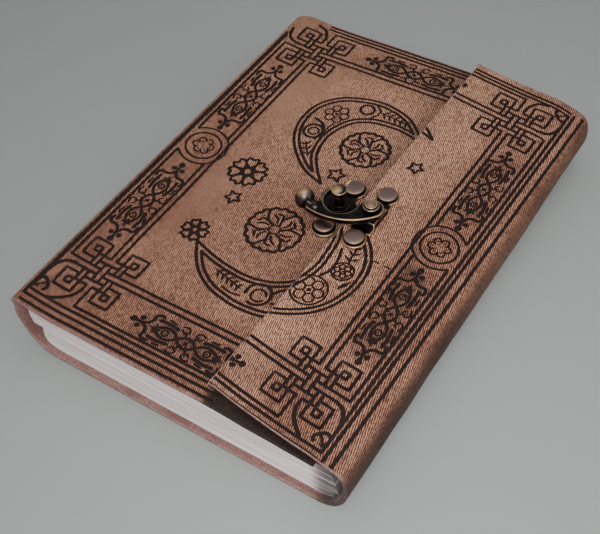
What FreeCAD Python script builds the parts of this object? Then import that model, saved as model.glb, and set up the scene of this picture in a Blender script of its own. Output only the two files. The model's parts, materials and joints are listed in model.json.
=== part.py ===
"""Leather diary with a wrap-round flap and a brass swing clasp.

One piece of embossed leather makes the front cover, the spine, the back cover, the
fore-edge wrap and the flap. It holds a sewn block of pages. Millimetres, +Z up, the
back cover lies on Z = 0 and the origin is under the middle of the closed diary.

All work is done in the cover's own frame: X from the spine, Y from the tail (lower)
edge of the cover, Z from the table. Everything is moved to the origin at the end.
"""
import FreeCAD, Part
import os
from math import cos, degrees, radians, sin, sqrt, tan
from FreeCAD import Vector

# ---- leather ------------------------------------------------------------------------
leather = 1.6            # thickness of the leather
cover_length = 180.0     # along the spine, tail to head
cover_top = 24.0         # height of the front cover's flat outer face
crease_x = 16.0          # where the front cover starts to rise towards the spine
crease_rise = 5.7        # degrees, slope of that rise
crease_run = 14.4        # length of the rising strip
crease_radius = 10.0
droop = 3.65             # degrees, fall of the front cover from the clasp to its free edge
droop_radius = 30.0
front_edge_margin = 0.2  # the front cover's free edge, past the toe
spine_corner = (2.4, 80.7)   # radius and turn of the tight bend at the top of the spine
spine_bulge = (15.0, 35.0)   # radius and turn of the bulging spine
spine_foot = (12.0, 70.0)    # radius and turn of the wide bend at the foot of the spine
spine_head_round = 4.5   # worn corner of the spine at the head, in plan
spine_tail_round = 1.5
toe_x = 116.8            # where the back cover leaves the table
toe = (10.0, 55.0)       # bend from the back cover up into the wrap
wall = (18.9, 50.0)      # the wrap's bulging wall
shoulder = (5.0, 50.0)   # bend at the top of the wrap
brow = (28.0, 25.0)      # gentle bend from the shoulder into the flat flap
wrap_short = 1.5         # the wrap and flap are cut this much shorter than the cover
flap_overlap = 39.3      # from the toe back to the flap's free edge, at mid-length
flap_tilt = 1.17         # degrees, lean of the free edge: further from the spine at the head
flap_skew_margin = 3.2   # past the toe, where the flap starts to creep towards the head
flap_skew = 0.078        # first-order creep
flap_skew_growth = 0.0013
wrap_open = 75.0         # degrees that the wrap falls back
flap_open = 95.0         # degrees that the flap unfolds from the wrap
fold_clearance = 0.15    # past what the opened folds need
flap_spare = 5.0         # length past the free edge, which the flap's plan trims off

# ---- pages --------------------------------------------------------------------------
page_inset_tail = 2.4
page_inset_head = 2.6
page_gap_under = 0.1     # pages to the back cover and its two bends
page_gap_over = 1.1      # pages to the front cover, which leaves room for the rivet backs
upper_fold_gap = 2.1     # fold of the upper signature to the inside of the spine
lower_fold_gap = 2.4     # fold of the lower signature to the inside of the spine
split_share = 0.5        # share of the block that is the lower signature
notch_depth = 4.5        # how far the notch between the signatures runs in
fold_round = 1.4         # rounding of a signature's fold, along the block
fore_edge_low = 5.6      # fore edge of the bottom leaf, past the toe
fore_edge_high = 0.4     # fore edge of the top leaf, past the toe
fore_edge_bulge = 0.8

# ---- clasp --------------------------------------------------------------------------
clasp_shift = -0.2       # middle of both plates from the middle of the cover
receiver_margin = 5.6    # receiver plate's axis, left of the flap's free edge
hook_plate_margin = 7.1  # hook plate's axis, right of the flap's free edge
plate_thickness = 0.9
receiver_pitch = 20.8    # between the rivets of the receiver plate
hook_plate_pitch = 23.0
receiver_lobe = 4.6
receiver_waist = 4.9
receiver_web = 6.9       # width of the strip between its lobes
hook_plate_lobe = 4.3
hook_plate_width = 8.0
post_base = (4.0, 2.0)   # radius and height of the step under the post
post_neck = 1.9
knob = (2.7, 2.4)        # radius and height
block_foot = (8.4, 10.4) # pressed block that lifts the hook, at its foot
block_head = (7.4, 8.6)  # and at its top
block_height = 1.8
hook_thickness = 2.4
hook_running_gap = 0.1
hook_eye = 4.4
hook_hole = 6.4
hook_hole_shift = (1.9, -1.3)  # centre of the notch from the post
hook_lip = 1.3           # thickness of the lip beyond the post
hook_lip_angles = (213.0, 156.0)  # where the lip springs from the arm, and its tip
hook_eye_angles = (165.0, 60.0, -30.0)  # start, middle and end of the eye's outline
hook_mouth = (250.0, -12.0)    # middle of the notch's curve and its end at the eye
hook_sweep = (9.4, 10.6) # middle of the outer sweep from the pivot
sweep_tip = (2.6, 3.6)   # end of the outer sweep from the ball
arm_root = (3.0, 0.4)    # end of the arm's inner side from the ball
thumb_ball = 3.3
thumb_reach = 22.3       # pivot to ball, across
thumb_drop = 6.9         # pivot to ball, towards the tail
thumb_lift = 0.4         # ball above the middle of the arm
thumb_rings = (40.0, 80.0, 120.0)  # degrees round the ball from its tip
thumb_sides = 12
thumb_neck = (1.2, 5.8)  # radius where the neck joins the arm, and its distance
knob_clearance = 0.4
pivot_shank = 1.45
pivot_play = 0.05
pivot_head = (2.9, 2.3)

# ---- rivets -------------------------------------------------------------------------
rivet_cap = (3.6, 1.4)   # radius and height of the flat cap
rivet_post = 1.4
rivet_foot = (3.4, 0.4)  # radius and thickness of the foot behind the leather

# ---- embossing ----------------------------------------------------------------------
groove_width = 0.7
groove_depth = 0.25
round_step = 12.0        # degrees of each straight part of a stamped circle
pattern_margin = 4.6     # the pattern runs this far past the toe, up the wrap
knot_from_side = 17.4    # middle of a corner knot from the side of the pattern
knot_from_tail = 24.5
knot_from_head = 18.9
band = 1.25              # half the spacing of a double line
loop_u = (4.1, 6.2)      # inner and outer line of the knot's square loop
loop_v = (4.0, 6.5)
fret_out = (11.5, 11.8)  # outer reach of the square frets
border_side = (3.4, 0.9) # long border lines from the side of the pattern
border_tail = (8.7, 6.7) # short border lines from the tail
border_head = (4.7, 2.8) # and from the head
horn_u = 11.2            # reach of the band that ends at the side
horn_v = 10.2            # reach of the band that ends towards the tail or head
flap_pattern_drop = 4.0  # the flap's pattern sits this much nearer the tail
medallion_from_side = 10.4
medallion_radius = 9.0
# the moons stand at these distances from the middle of the pattern
upper_moon = (-0.6, 28.8, 25.2)    # centre and outer radius
upper_moon_bite = (6.2, 25.4, 20.3)
lower_moon = (6.1, -28.0, 29.2)
lower_moon_bite = (-2.2, -21.0, 23.2)

# ---- places that follow from the sizes ------------------------------------------------
front_edge_x = toe_x + front_edge_margin
wrap_length = cover_length - wrap_short
flap_edge_x = toe_x - flap_overlap
flap_skew_x = toe_x + flap_skew_margin
clasp_y = cover_length / 2 + clasp_shift
receiver_x = flap_edge_x - receiver_margin
droop_x = receiver_x + receiver_lobe   # the cover stays flat under the receiver plate
hook_plate_x = flap_edge_x + hook_plate_margin
pattern_x = (toe_x + pattern_margin) / 2
pattern_y = (knot_from_tail + cover_length - knot_from_head) / 2
knot_dx = pattern_x - knot_from_side
knot_dy = pattern_y - knot_from_tail


# ---- small helpers ------------------------------------------------------------------
def at(x, z, y=0.0):
    return Vector(x, y, z)


def travel(heading, moves):
    """Distance covered by moves; a move is (length,) or (radius, left turn in degrees)."""
    a, x, z = radians(heading), 0.0, 0.0
    for move in moves:
        if len(move) == 1:
            x += move[0] * cos(a)
            z += move[0] * sin(a)
        else:
            side = 1.0 if move[1] > 0 else -1.0
            b = a + radians(move[1])
            x += side * move[0] * (sin(b) - sin(a))
            z -= side * move[0] * (cos(b) - cos(a))
            a = b
    return x, z, degrees(a)


def walk(start, heading, moves, inset):
    """Edges of the path that moves trace, shifted inset to the left of the heading."""
    def shifted(x, z, a):
        return at(x - inset * sin(a), z + inset * cos(a))

    (x, z), edges = start, []
    for move in moves:
        dx, dz, turned = travel(heading, [move])
        first = shifted(x, z, radians(heading))
        last = shifted(x + dx, z + dz, radians(turned))
        if len(move) == 1:
            edges.append(Part.makeLine(first, last))
        else:
            hx, hz, half = travel(heading, [(move[0], move[1] / 2)])
            middle = shifted(x + hx, z + hz, radians(half))
            edges.append(Part.Arc(first, middle, last).toShape())
        x, z, heading = x + dx, z + dz, turned
    return edges


def sheet(start, heading, moves, depth):
    """Section of a bent sheet whose outer face follows moves and which is depth thick."""
    outer = walk(start, heading, moves, 0.0)
    inner = walk(start, heading, moves, depth)
    def first(edge):
        return edge.valueAt(edge.FirstParameter)

    def last(edge):
        return edge.valueAt(edge.LastParameter)

    ends = [Part.makeLine(first(outer[0]), first(inner[0])),
            Part.makeLine(last(outer[-1]), last(inner[-1]))]
    return Part.Face(Part.Wire(Part.__sortEdges__(outer + inner + ends)))


def rod(centre, radius, low, high):
    """A round bar along Y."""
    return Part.makeCylinder(radius, high - low, at(*centre, low), Vector(0, 1, 0))


def along_y(face, low, high):
    moved = face.copy()
    moved.translate(Vector(0, low, 0))
    return moved.extrude(Vector(0, high - low, 0))


def cylinder(x, y, low, high, radius):
    return Part.makeCylinder(radius, high - low, Vector(x, y, low))


def turned(points, x, y):
    """Solid of revolution about a vertical axis; points are (radius, height)."""
    outline = Part.makePolygon([Vector(r, 0, z) for r, z in points + points[:1]])
    solid = Part.Face(outline).revolve(Vector(0, 0, 0), Vector(0, 0, 1), 360)
    solid.translate(Vector(x, y, 0))
    return solid


# ---- the section of the leather, from the front cover's free edge round to the flap --
rise_turn = (crease_radius, -crease_rise)
droop_turn = (droop_radius, droop)
droop_dx, droop_dz, level = travel(180.0 - droop, [droop_turn])
droop_run = (front_edge_x - droop_x + droop_dx) / cos(radians(droop))
run_dx, run_dz, heading = travel(180.0 - droop, [(droop_run,), droop_turn])
front_edge = (droop_x - run_dx, cover_top - run_dz)
rise_dx, rise_dz, heading = travel(180.0, [rise_turn, (crease_run,)])
down_moves = [spine_corner, spine_bulge]
down_dx, down_dz, spine_heading = travel(heading, down_moves)
foot_dx, foot_dz, base_heading = travel(spine_heading, [spine_foot])
spine_run = (cover_top + rise_dz + down_dz + foot_dz) / -sin(radians(spine_heading))
base_x = (crease_x + rise_dx + down_dx + spine_run * cos(radians(spine_heading))
          + foot_dx)
cover_moves = ([(droop_run,), droop_turn, (droop_x - crease_x,), rise_turn,
                (crease_run,)] + down_moves + [(spine_run,), spine_foot,
                                               (toe_x - base_x,), toe])
toe_dx, toe_dz, toe_heading = travel(0.0, [toe])
wrap_start = (toe_x + toe_dx, toe_dz)
wrap_dx, wrap_dz, wrap_heading = travel(toe_heading, [wall, shoulder])
flap_start = (wrap_start[0] + wrap_dx, wrap_start[1] + wrap_dz)
brow_dx, brow_dz, flap_heading = travel(wrap_heading, [brow])
flap_top = flap_start[1] + brow_dz
flap_under = flap_top - leather
flap_reach = flap_start[0] + brow_dx - flap_edge_x + flap_spare


def middle_of_leather(start, heading):
    a = radians(heading)
    return start[0] - leather / 2 * sin(a), start[1] + leather / 2 * cos(a)


wrap_axis = middle_of_leather(wrap_start, toe_heading)
flap_axis = middle_of_leather(flap_start, wrap_heading)


def fold_relief(opening):
    """Radius round a fold inside which the fixed side is cut away, so it can open."""
    return leather / 2 / sin(radians(180.0 - opening) / 2) + fold_clearance


def creep(x):
    """How far the flap has crept towards the head at a distance x from the spine."""
    u = max(0.0, flap_skew_x - x)
    return flap_skew * u + flap_skew_growth * u * u


def flap_edge(y):
    """Free edge of the flap at a distance y from the tail."""
    return flap_edge_x + tan(radians(flap_tilt)) * (y - cover_length / 2)


# ---- the embossed pattern, drawn on the flat as strokes -------------------------------
def polyline(points):
    """A bent stroke with mitred corners and square ends, as a list of one face."""
    spots = [Vector(x, y, 0) for x, y in points]
    ways = [(b - a).normalize() for a, b in zip(spots, spots[1:])]
    half = groove_width / 2
    spots[0] -= ways[0] * half
    spots[-1] += ways[-1] * half
    left, right = [], []
    for k, spot in enumerate(spots):
        before, after = ways[max(k - 1, 0)], ways[min(k, len(ways) - 1)]
        mitre = Vector(-before.y - after.y, before.x + after.x, 0).normalize()
        mitre = mitre * (half / (mitre.y * after.x - mitre.x * after.y))
        left.append(spot + mitre)
        right.append(spot - mitre)
    corners = left + right[::-1]
    return [Part.Face(Part.makePolygon(corners + corners[:1]))]


def disc(x, y, radius):
    """A stamped circle, drawn with short straight parts."""
    count = round(360.0 / round_step)
    turns = [radians(360.0 * k / count) for k in range(count + 1)]
    return Part.Face(Part.makePolygon([Vector(x + radius * cos(t), y + radius * sin(t), 0)
                                       for t in turns]))


def ring(x, y, radius):
    """A round stroke, as a list of one face."""
    return disc(x, y, radius + groove_width / 2).cut(disc(x, y, radius - groove_width / 2)).Faces


def as_laid(point):
    """On the cover the pattern lies as it was stamped."""
    return point


def as_crept(point):
    """On the flap it leans and creeps with the leather."""
    x, y = point
    return (x + tan(radians(flap_tilt)) * (y - cover_length / 2),
            y + creep(x) - flap_pattern_drop)


def end_lines(sy):
    """Heights of the border lines at the tail or at the head."""
    if sy < 0:
        return border_tail
    return [cover_length - inset for inset in border_head]


def knot(sx, sy, place):
    """Corner knot: two bands woven through a square loop that ends in four frets.

    U runs from the knot's middle towards the side of the cover, V towards its end.
    """
    cx, cy = pattern_x + sx * knot_dx, pattern_y + sy * knot_dy

    def spots(points):
        return [place((cx + sx * u, cy + sy * v)) for u, v in points]

    def lines(*points):
        return polyline(spots(points))

    strokes = []
    for mu in (1, -1):
        for mv in (1, -1):
            strokes += lines((mu * loop_u[0], mv * band), (mu * loop_u[0], mv * fret_out[1]),
                             (mu * fret_out[0], mv * fret_out[1]),
                             (mu * fret_out[0], mv * loop_v[0]),
                             (mu * loop_u[1], mv * loop_v[0]))
            strokes += lines((mu * loop_u[1], mv * band), (mu * loop_u[1], mv * loop_v[1]),
                             (mu * band, mv * loop_v[1]))
        strokes += lines((-loop_u[0], mu * loop_v[0]), (loop_u[0], mu * loop_v[0]))
        strokes += lines((mu * band, -loop_v[0]), (mu * band, loop_v[0]))
        strokes += lines((-fret_out[0], mu * band), (-band, mu * band))
        strokes += lines((mu * band, -fret_out[1]), (mu * band, -loop_v[1]))
    side = knot_from_side - border_side[0]
    end = abs(end_lines(sy)[0] - cy)
    strokes += lines((band, -band), (side, -band), (side, -fret_out[1]))
    strokes += lines((-band, loop_v[1]), (-band, end), (-fret_out[0], end))
    strokes += lines((band, band), (horn_u, band))
    strokes += lines((band, loop_v[1]), (band, horn_v))
    return strokes


def border(sx, place, x_stop):
    """Border lines on the side of the pattern that sx names, as far as x_stop."""
    strokes = []
    low, high = pattern_y - knot_dy, pattern_y + knot_dy
    side = [pattern_x - inset for inset in border_side]
    for d in (knot_dx - band, knot_dx + band, side[0]):
        x = pattern_x + sx * d
        strokes += polyline([place((x, low + fret_out[1])), place((x, high - fret_out[1]))])
    knot_x = pattern_x + sx * (knot_dx - fret_out[0])
    corner_x = pattern_x + sx * side[1]
    strokes += polyline([place((corner_x, end_lines(-1)[1])),
                         place((corner_x, end_lines(1)[1]))])
    for sy in (1, -1):
        cy = pattern_y + sy * knot_dy
        rows = [(knot_x, cy - band), (knot_x, cy + band), (knot_x, end_lines(sy)[0]),
                (corner_x, end_lines(sy)[1])]
        for x, y in rows:
            strokes += polyline([place((x, y)), place(((x + x_stop) / 2, y)),
                                 place((x_stop, y))])
    return strokes


def medallion(sx, place):
    x = pattern_x + sx * (pattern_x - medallion_from_side)
    return ring(*place((x, pattern_y)), medallion_radius)


def crescent(moon, bite, lift=0.0):
    """Outline of a moon: the part of a disc outside a second disc."""
    def moon_face(inset):
        whole = disc(pattern_x + moon[0], pattern_y + moon[1] + lift, moon[2] - inset)
        return whole.cut(disc(pattern_x + bite[0], pattern_y + bite[1] + lift,
                              bite[2] + inset))

    return moon_face(0.0).cut(moon_face(groove_width)).Faces


def emboss(blank, strokes, start, heading, moves, low, high):
    """Press the strokes groove_depth into the outer face of a bent blank."""
    drawn = strokes[0].multiFuse(strokes[1:]).removeSplitter()
    drawn.translate(Vector(0, 0, cover_top / 2))
    tools = drawn.extrude(Vector(0, 0, cover_top))
    skin = along_y(sheet(start, heading, moves, groove_depth), low, high)
    return blank.cut(tools.common(skin))


# ---- leather pieces -------------------------------------------------------------------
def rounded_plan(x0, x1, y0, y1, r_tail, r_head):
    """Plan of a sheet whose two corners at x0 are rounded."""
    c = sqrt(0.5)
    p = [(x1, y0), (x0 + r_tail, y0), (x0, y0 + r_tail), (x0, y1 - r_head), (x0 + r_head, y1),
         (x1, y1)]
    p = [Vector(a, b, 0) for a, b in p]
    tail_mid = Vector(x0 + r_tail * (1 - c), y0 + r_tail * (1 - c), 0)
    head_mid = Vector(x0 + r_head * (1 - c), y1 - r_head * (1 - c), 0)
    edges = [Part.makeLine(p[0], p[1]), Part.Arc(p[1], tail_mid, p[2]).toShape(),
             Part.makeLine(p[2], p[3]), Part.Arc(p[3], head_mid, p[4]).toShape(),
             Part.makeLine(p[4], p[5]), Part.makeLine(p[5], p[0])]
    return Part.Face(Part.Wire(edges))


def outward(plan):
    prism = plan.extrude(Vector(0, 0, cover_top * 3))
    prism.translate(Vector(0, 0, -cover_top))
    return prism


cover_section = sheet(front_edge, 180.0 - droop, cover_moves, leather)


def spine_wall(z):
    """Outer and inner face of the spine at a height."""
    level_line = Part.makeLine(at(-cover_top, z), at(crease_x, z))
    cut = cover_section.common(level_line)
    wall_edge = min(cut.Edges, key=lambda edge: edge.BoundBox.XMin)
    return wall_edge.BoundBox.XMin, wall_edge.BoundBox.XMax


def make_cover():
    spine_x = cover_section.optimalBoundingBox().XMin
    plan = rounded_plan(spine_x, toe_x + toe[0] + leather, 0.0, cover_length,
                        spine_tail_round, spine_head_round)
    blank = along_y(cover_section, 0.0, cover_length).common(outward(plan))
    blank = blank.cut(rod(wrap_axis, fold_relief(wrap_open), -1.0, cover_length + 1.0))
    for y in rivet_rows(receiver_pitch):
        hole = cylinder(receiver_x, y, cover_top - leather - 1, cover_top + 1, rivet_post)
        blank = blank.cut(hole)
    strokes = border(-1, as_laid, flap_edge_x)
    strokes += knot(-1, 1, as_laid) + knot(-1, -1, as_laid) + medallion(-1, as_laid)
    strokes += crescent(upper_moon, upper_moon_bite) + crescent(lower_moon, lower_moon_bite)
    return emboss(blank, strokes, front_edge, 180.0 - droop, cover_moves, 0.0, cover_length)


def make_wrap():
    blank = along_y(sheet(wrap_start, toe_heading, [wall, shoulder], leather),
                    0.0, wrap_length)
    blank = blank.fuse(rod(wrap_axis, leather / 2, 0.0, wrap_length))
    relief = rod(flap_axis, fold_relief(flap_open), -1.0, wrap_length + 1.0)
    return blank.cut(relief).removeSplitter()


def flap_plan():
    """Plan of the flap: its two ends creep towards the head away from the wrap."""
    tail_x, head_x = flap_edge(creep(flap_edge_x)), flap_edge(wrap_length)
    right = flap_start[0] + leather + 1.0

    def end(x, base):
        half = (x + flap_skew_x) / 2
        return [Vector(flap_skew_x, base, 0), Vector(half, base + creep(half), 0),
                Vector(x, base + creep(x), 0)]

    tail, head = end(tail_x, 0.0), end(head_x, wrap_length)
    edges = [Part.Arc(*tail).toShape(), Part.makeLine(tail[2], head[2]),
             Part.Arc(*head[::-1]).toShape(),
             Part.makeLine(head[0], Vector(right, wrap_length, 0)),
             Part.makeLine(Vector(right, wrap_length, 0), Vector(right, 0, 0)),
             Part.makeLine(Vector(right, 0, 0), tail[0])]
    return Part.Face(Part.Wire(edges))


def make_flap():
    moves = [brow, (flap_reach,)]
    low, high = -leather, cover_length + 2 * creep(flap_edge_x)
    blank = along_y(sheet(flap_start, wrap_heading, moves, leather), low, high)
    blank = blank.common(outward(flap_plan()))
    blank = blank.fuse(rod(flap_axis, leather / 2, 0.0, wrap_length)).removeSplitter()
    holes = [(y, rivet_post) for y in rivet_rows(hook_plate_pitch)]
    for y, radius in holes + [(clasp_y, pivot_shank)]:
        blank = blank.cut(cylinder(hook_plate_x, y, flap_under - 1, flap_top + 1, radius))
    strokes = border(1, as_crept, flap_edge_x)
    strokes += knot(1, 1, as_crept) + knot(1, -1, as_crept) + medallion(1, as_crept)
    lift = creep(flap_edge_x) - flap_pattern_drop
    strokes += crescent(upper_moon, upper_moon_bite, lift)
    strokes += crescent(lower_moon, lower_moon_bite, lift)
    return emboss(blank, strokes, flap_start, wrap_heading, moves, low, high)


# ---- pages ----------------------------------------------------------------------------
page_low = leather + page_gap_under
page_high = cover_top - leather - page_gap_over


def signature_fold(x, low, high, notch_x):
    """Edges of one signature's fold, from its top leaf down to its bottom leaf."""
    middle = (low + high) / 2
    return [Part.makeLine(at(notch_x, high), at(x + fold_round, high)),
            Part.Arc(at(x + fold_round, high), at(x, middle), at(x + fold_round, low)).toShape(),
            Part.makeLine(at(x + fold_round, low), at(notch_x, low))]


def room_for_pages():
    """The space over the back cover and between its bends at the foot and the toe."""
    start = (base_x - foot_dx, -foot_dz)
    floor = walk(start, spine_heading, [spine_foot, (toe_x - base_x,), toe], page_low)
    first = floor[0].valueAt(floor[0].FirstParameter)
    last = floor[-1].valueAt(floor[-1].LastParameter)
    left, right, top = -cover_top, toe_x + cover_top, 2 * cover_top
    around = Part.makePolygon([last, at(right, last.z), at(right, top), at(left, top),
                               at(left, first.z), first])
    return Part.Face(Part.Wire(floor + around.Edges))


def make_pages():
    """One block: two signatures folded towards the spine, with a slanted fore edge."""
    split = page_low + split_share * (page_high - page_low)
    upper_x = spine_wall((split + page_high) / 2)[1] + upper_fold_gap
    lower_x = spine_wall((split + page_low) / 2)[1] + lower_fold_gap
    notch_x = lower_x + notch_depth
    half_notch = fold_round / 2
    low_x, high_x = toe_x + fore_edge_low, toe_x + fore_edge_high
    fall = (high_x - droop_x) * tan(radians(droop))
    fore_low = at(low_x, page_low)
    fore_middle = at((low_x + high_x) / 2 + fore_edge_bulge, (page_low + page_high) / 2)
    fore_top = at(high_x, page_high - fall)
    edges = signature_fold(upper_x, split + half_notch, page_high, notch_x)
    edges += signature_fold(lower_x, page_low, split - half_notch, notch_x)
    edges += [Part.makeLine(at(notch_x, split + half_notch), at(notch_x, split - half_notch)),
              Part.makeLine(at(notch_x, page_low), fore_low),
              Part.Arc(fore_low, fore_middle, fore_top).toShape(),
              Part.makeLine(fore_top, at(droop_x, page_high)),
              Part.makeLine(at(droop_x, page_high), at(notch_x, page_high))]
    section = Part.Face(Part.Wire(Part.__sortEdges__(edges))).common(room_for_pages())
    return along_y(section, page_inset_tail, cover_length - page_inset_head)


# ---- clasp ----------------------------------------------------------------------------
def rivet_rows(pitch):
    return [clasp_y - pitch / 2, clasp_y + pitch / 2]


def plate_blank(x, z, pitch, lobe, body):
    """A thin plate with a round lobe under each rivet."""
    plate = body
    for y in rivet_rows(pitch):
        plate = plate.fuse(cylinder(x, y, z, z + plate_thickness, lobe))
    for y in rivet_rows(pitch):
        plate = plate.cut(cylinder(x, y, z - 1, z + plate_thickness + 1, rivet_post))
    return plate


hook_low = flap_top + plate_thickness + block_height + hook_running_gap
hook_high = hook_low + hook_thickness
knob_low = hook_high + knob_clearance


def make_receiver():
    """Plate with a stepped post and the knob that the hook swings under."""
    z = cover_top
    top = z + plate_thickness
    half = receiver_pitch / 2
    body = cylinder(receiver_x, clasp_y, z, top, receiver_waist)
    web = Part.makeBox(receiver_web, 2 * half, plate_thickness,
                       Vector(receiver_x - receiver_web / 2, clasp_y - half, z))
    plate = plate_blank(receiver_x, z, receiver_pitch, receiver_lobe, body.fuse(web))
    base_top = top + post_base[1]
    radius, knob_top = knob[0], knob_low + knob[1]
    post = turned([(0, z), (post_base[0], z), (post_base[0], base_top),
                   (post_neck, base_top), (post_neck, knob_low), (radius, knob_low),
                   (radius, knob_top), (0, knob_top)], receiver_x, clasp_y)
    return plate.fuse(post).removeSplitter()


def make_hook_plate():
    """Plate with the pressed block that carries the pivot above the flap."""
    z = flap_top
    top = z + plate_thickness
    straight = hook_plate_pitch - 2 * rivet_cap[0]
    body = Part.makeBox(hook_plate_width, straight, plate_thickness,
                        Vector(hook_plate_x - hook_plate_width / 2, clasp_y - straight / 2, z))
    plate = plate_blank(hook_plate_x, z, hook_plate_pitch, hook_plate_lobe, body)

    def outline(size, height):
        x, y = size[0] / 2, size[1] / 2
        corners = [(-x, -y), (x, -y), (x, y), (-x, y), (-x, -y)]
        return Part.makePolygon([Vector(hook_plate_x + a, clasp_y + b, height)
                                 for a, b in corners])

    block = Part.makeLoft([outline(block_foot, top), outline(block_head, top + block_height)],
                          True)
    plate = plate.fuse(block).removeSplitter()
    return plate.cut(cylinder(hook_plate_x, clasp_y, z - 1, top + block_height + 1,
                              pivot_shank))


def hook_outline():
    """Plan of the swing hook about its pivot, as one closed wire."""
    px, py = hook_plate_x, clasp_y
    hx = receiver_x + hook_hole_shift[0]
    hy = clasp_y + hook_hole_shift[1]

    def eye(angle):
        a = radians(angle)
        return Vector(px + hook_eye * cos(a), py + hook_eye * sin(a), 0)

    def hole(angle, extra=0.0):
        a = radians(angle)
        return Vector(hx + (hook_hole + extra) * cos(a), hy + (hook_hole + extra) * sin(a), 0)

    ball = Vector(px - thumb_reach, py - thumb_drop, 0)
    sweep_end = ball + Vector(sweep_tip[0], -sweep_tip[1], 0)
    sweep_mid = Vector(px - hook_sweep[0], py - hook_sweep[1], 0)
    arm_end = ball - Vector(0, sweep_tip[1] / 2, 0)
    arm_in = ball + Vector(arm_root[0], arm_root[1], 0)
    spring, tip = hook_lip_angles
    mouth_mid, mouth_end = hook_mouth
    eye_points = [eye(angle) for angle in hook_eye_angles]
    edges = [Part.Arc(*eye_points).toShape(),
             Part.Arc(eye_points[-1], sweep_mid, sweep_end).toShape(),
             Part.makeLine(sweep_end, arm_end),
             Part.makeLine(arm_end, ball),
             Part.makeLine(ball, arm_in),
             Part.makeLine(arm_in, hole(spring, hook_lip)),
             Part.Arc(hole(spring, hook_lip), hole((spring + tip) / 2, hook_lip),
                      hole(tip, hook_lip)).toShape(),
             Part.makeLine(hole(tip, hook_lip), hole(tip)),
             Part.Arc(hole(tip), hole(mouth_mid), hole(mouth_end)).toShape(),
             Part.makeLine(hole(mouth_end), eye_points[0])]
    return Part.Wire(edges)


def make_thumb():
    """The faceted ball under the thumb and the neck that joins it to the arm."""
    centre = Vector(hook_plate_x - thumb_reach, clasp_y - thumb_drop,
                    hook_low + hook_thickness / 2 + thumb_lift)
    way = Vector(hook_plate_x - hook_sweep[0], clasp_y - hook_sweep[1], centre.z) - centre
    way.normalize()
    up = Vector(0, 0, 1)
    side = up.cross(way)

    def ring_of_corners(radius, height):
        turns = [radians(360.0 * k / thumb_sides) for k in range(thumb_sides + 1)]
        return [centre + way * height + (side * cos(t) + up * sin(t)) * radius
                for t in turns]

    angles = [radians(angle) for angle in thumb_rings]
    sections = [ring_of_corners(thumb_ball * sin(a), -thumb_ball * cos(a)) for a in angles]
    sections.append(ring_of_corners(*thumb_neck))
    tip = centre - way * thumb_ball
    outlines = [[tip, a, b] for a, b in zip(sections[0], sections[0][1:])]
    for near, far in zip(sections, sections[1:]):
        outlines += [[near[k], far[k], far[k + 1], near[k + 1]] for k in range(thumb_sides)]
    outlines.append(sections[-1][:-1])
    faces = [Part.Face(Part.makePolygon(spots + spots[:1])) for spots in outlines]
    return Part.Solid(Part.Shell(faces))


def make_hook():
    """The swing hook: an eye, a sweeping arm round the post and a thumb ball."""
    face = Part.Face(hook_outline())
    face.translate(Vector(0, 0, hook_low))
    arm = face.extrude(Vector(0, 0, hook_thickness))
    bore = cylinder(hook_plate_x, clasp_y, hook_low - 1, hook_high + 1,
                    pivot_shank + pivot_play)
    return arm.fuse(make_thumb()).cut(bore).removeSplitter()


def make_pivot():
    """Pin through the block and the hook's eye, with a turned head."""
    low = hook_high + hook_running_gap
    radius, top = pivot_head[0], low + pivot_head[1]
    return turned([(0, flap_under), (pivot_shank, flap_under), (pivot_shank, low),
                   (radius, low), (radius, top), (0, top)], hook_plate_x, clasp_y)


def make_rivet_cap(x, y, top):
    """Flat cap, pressed down on the plate."""
    radius, height = rivet_cap
    return turned([(0, top), (radius, top), (radius, top + height), (0, top + height)], x, y)


def make_rivet_foot(x, y, top):
    """Foot on the flesh side of the leather, with the post that carries the cap."""
    radius, thickness = rivet_foot
    back = top - plate_thickness - leather
    return turned([(0, back - thickness), (radius, back - thickness), (radius, back),
                   (rivet_post, back), (rivet_post, top), (0, top)], x, y)


# ---- build and save -------------------------------------------------------------------
pieces = {
    "cover_leather": make_cover(),
    "wrap_leather": make_wrap(),
    "flap_leather": make_flap(),
    "page_block": make_pages(),
    "receiver_plate": make_receiver(),
    "hook_plate": make_hook_plate(),
    "swing_hook": make_hook(),
    "hook_pivot": make_pivot(),
}
sides = (("receiver", receiver_x, receiver_pitch, cover_top + plate_thickness),
         ("hook_plate", hook_plate_x, hook_plate_pitch, flap_top + plate_thickness))
for side, x, pitch, top in sides:
    for end, y in zip(("tail", "head"), rivet_rows(pitch)):
        pieces[f"{side}_rivet_cap_{end}"] = make_rivet_cap(x, y, top)
        pieces[f"{side}_rivet_foot_{end}"] = make_rivet_foot(x, y, top)

box = Part.makeCompound(list(pieces.values())).optimalBoundingBox()
origin = Vector((box.XMin + box.XMax) / 2, (box.YMin + box.YMax) / 2, 0)
os.makedirs("parts", exist_ok=True)
for name, shape in pieces.items():
    shape.translate(-origin)
    shape.exportStep(f"parts/{name}.step")
    print(name, "solids", len(shape.Solids), "valid", shape.isValid(),
          "volume", round(shape.Volume, 1))
wrap_hinge = at(*wrap_axis) - origin
flap_hinge = at(*flap_axis) - origin
print("size", round(box.XLength, 2), round(box.YLength, 2), round(box.ZLength, 2))
print("wrap hinge", wrap_hinge, "flap hinge", flap_hinge)
print("hook pivot", Vector(hook_plate_x, clasp_y, hook_low) - origin)
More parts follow.
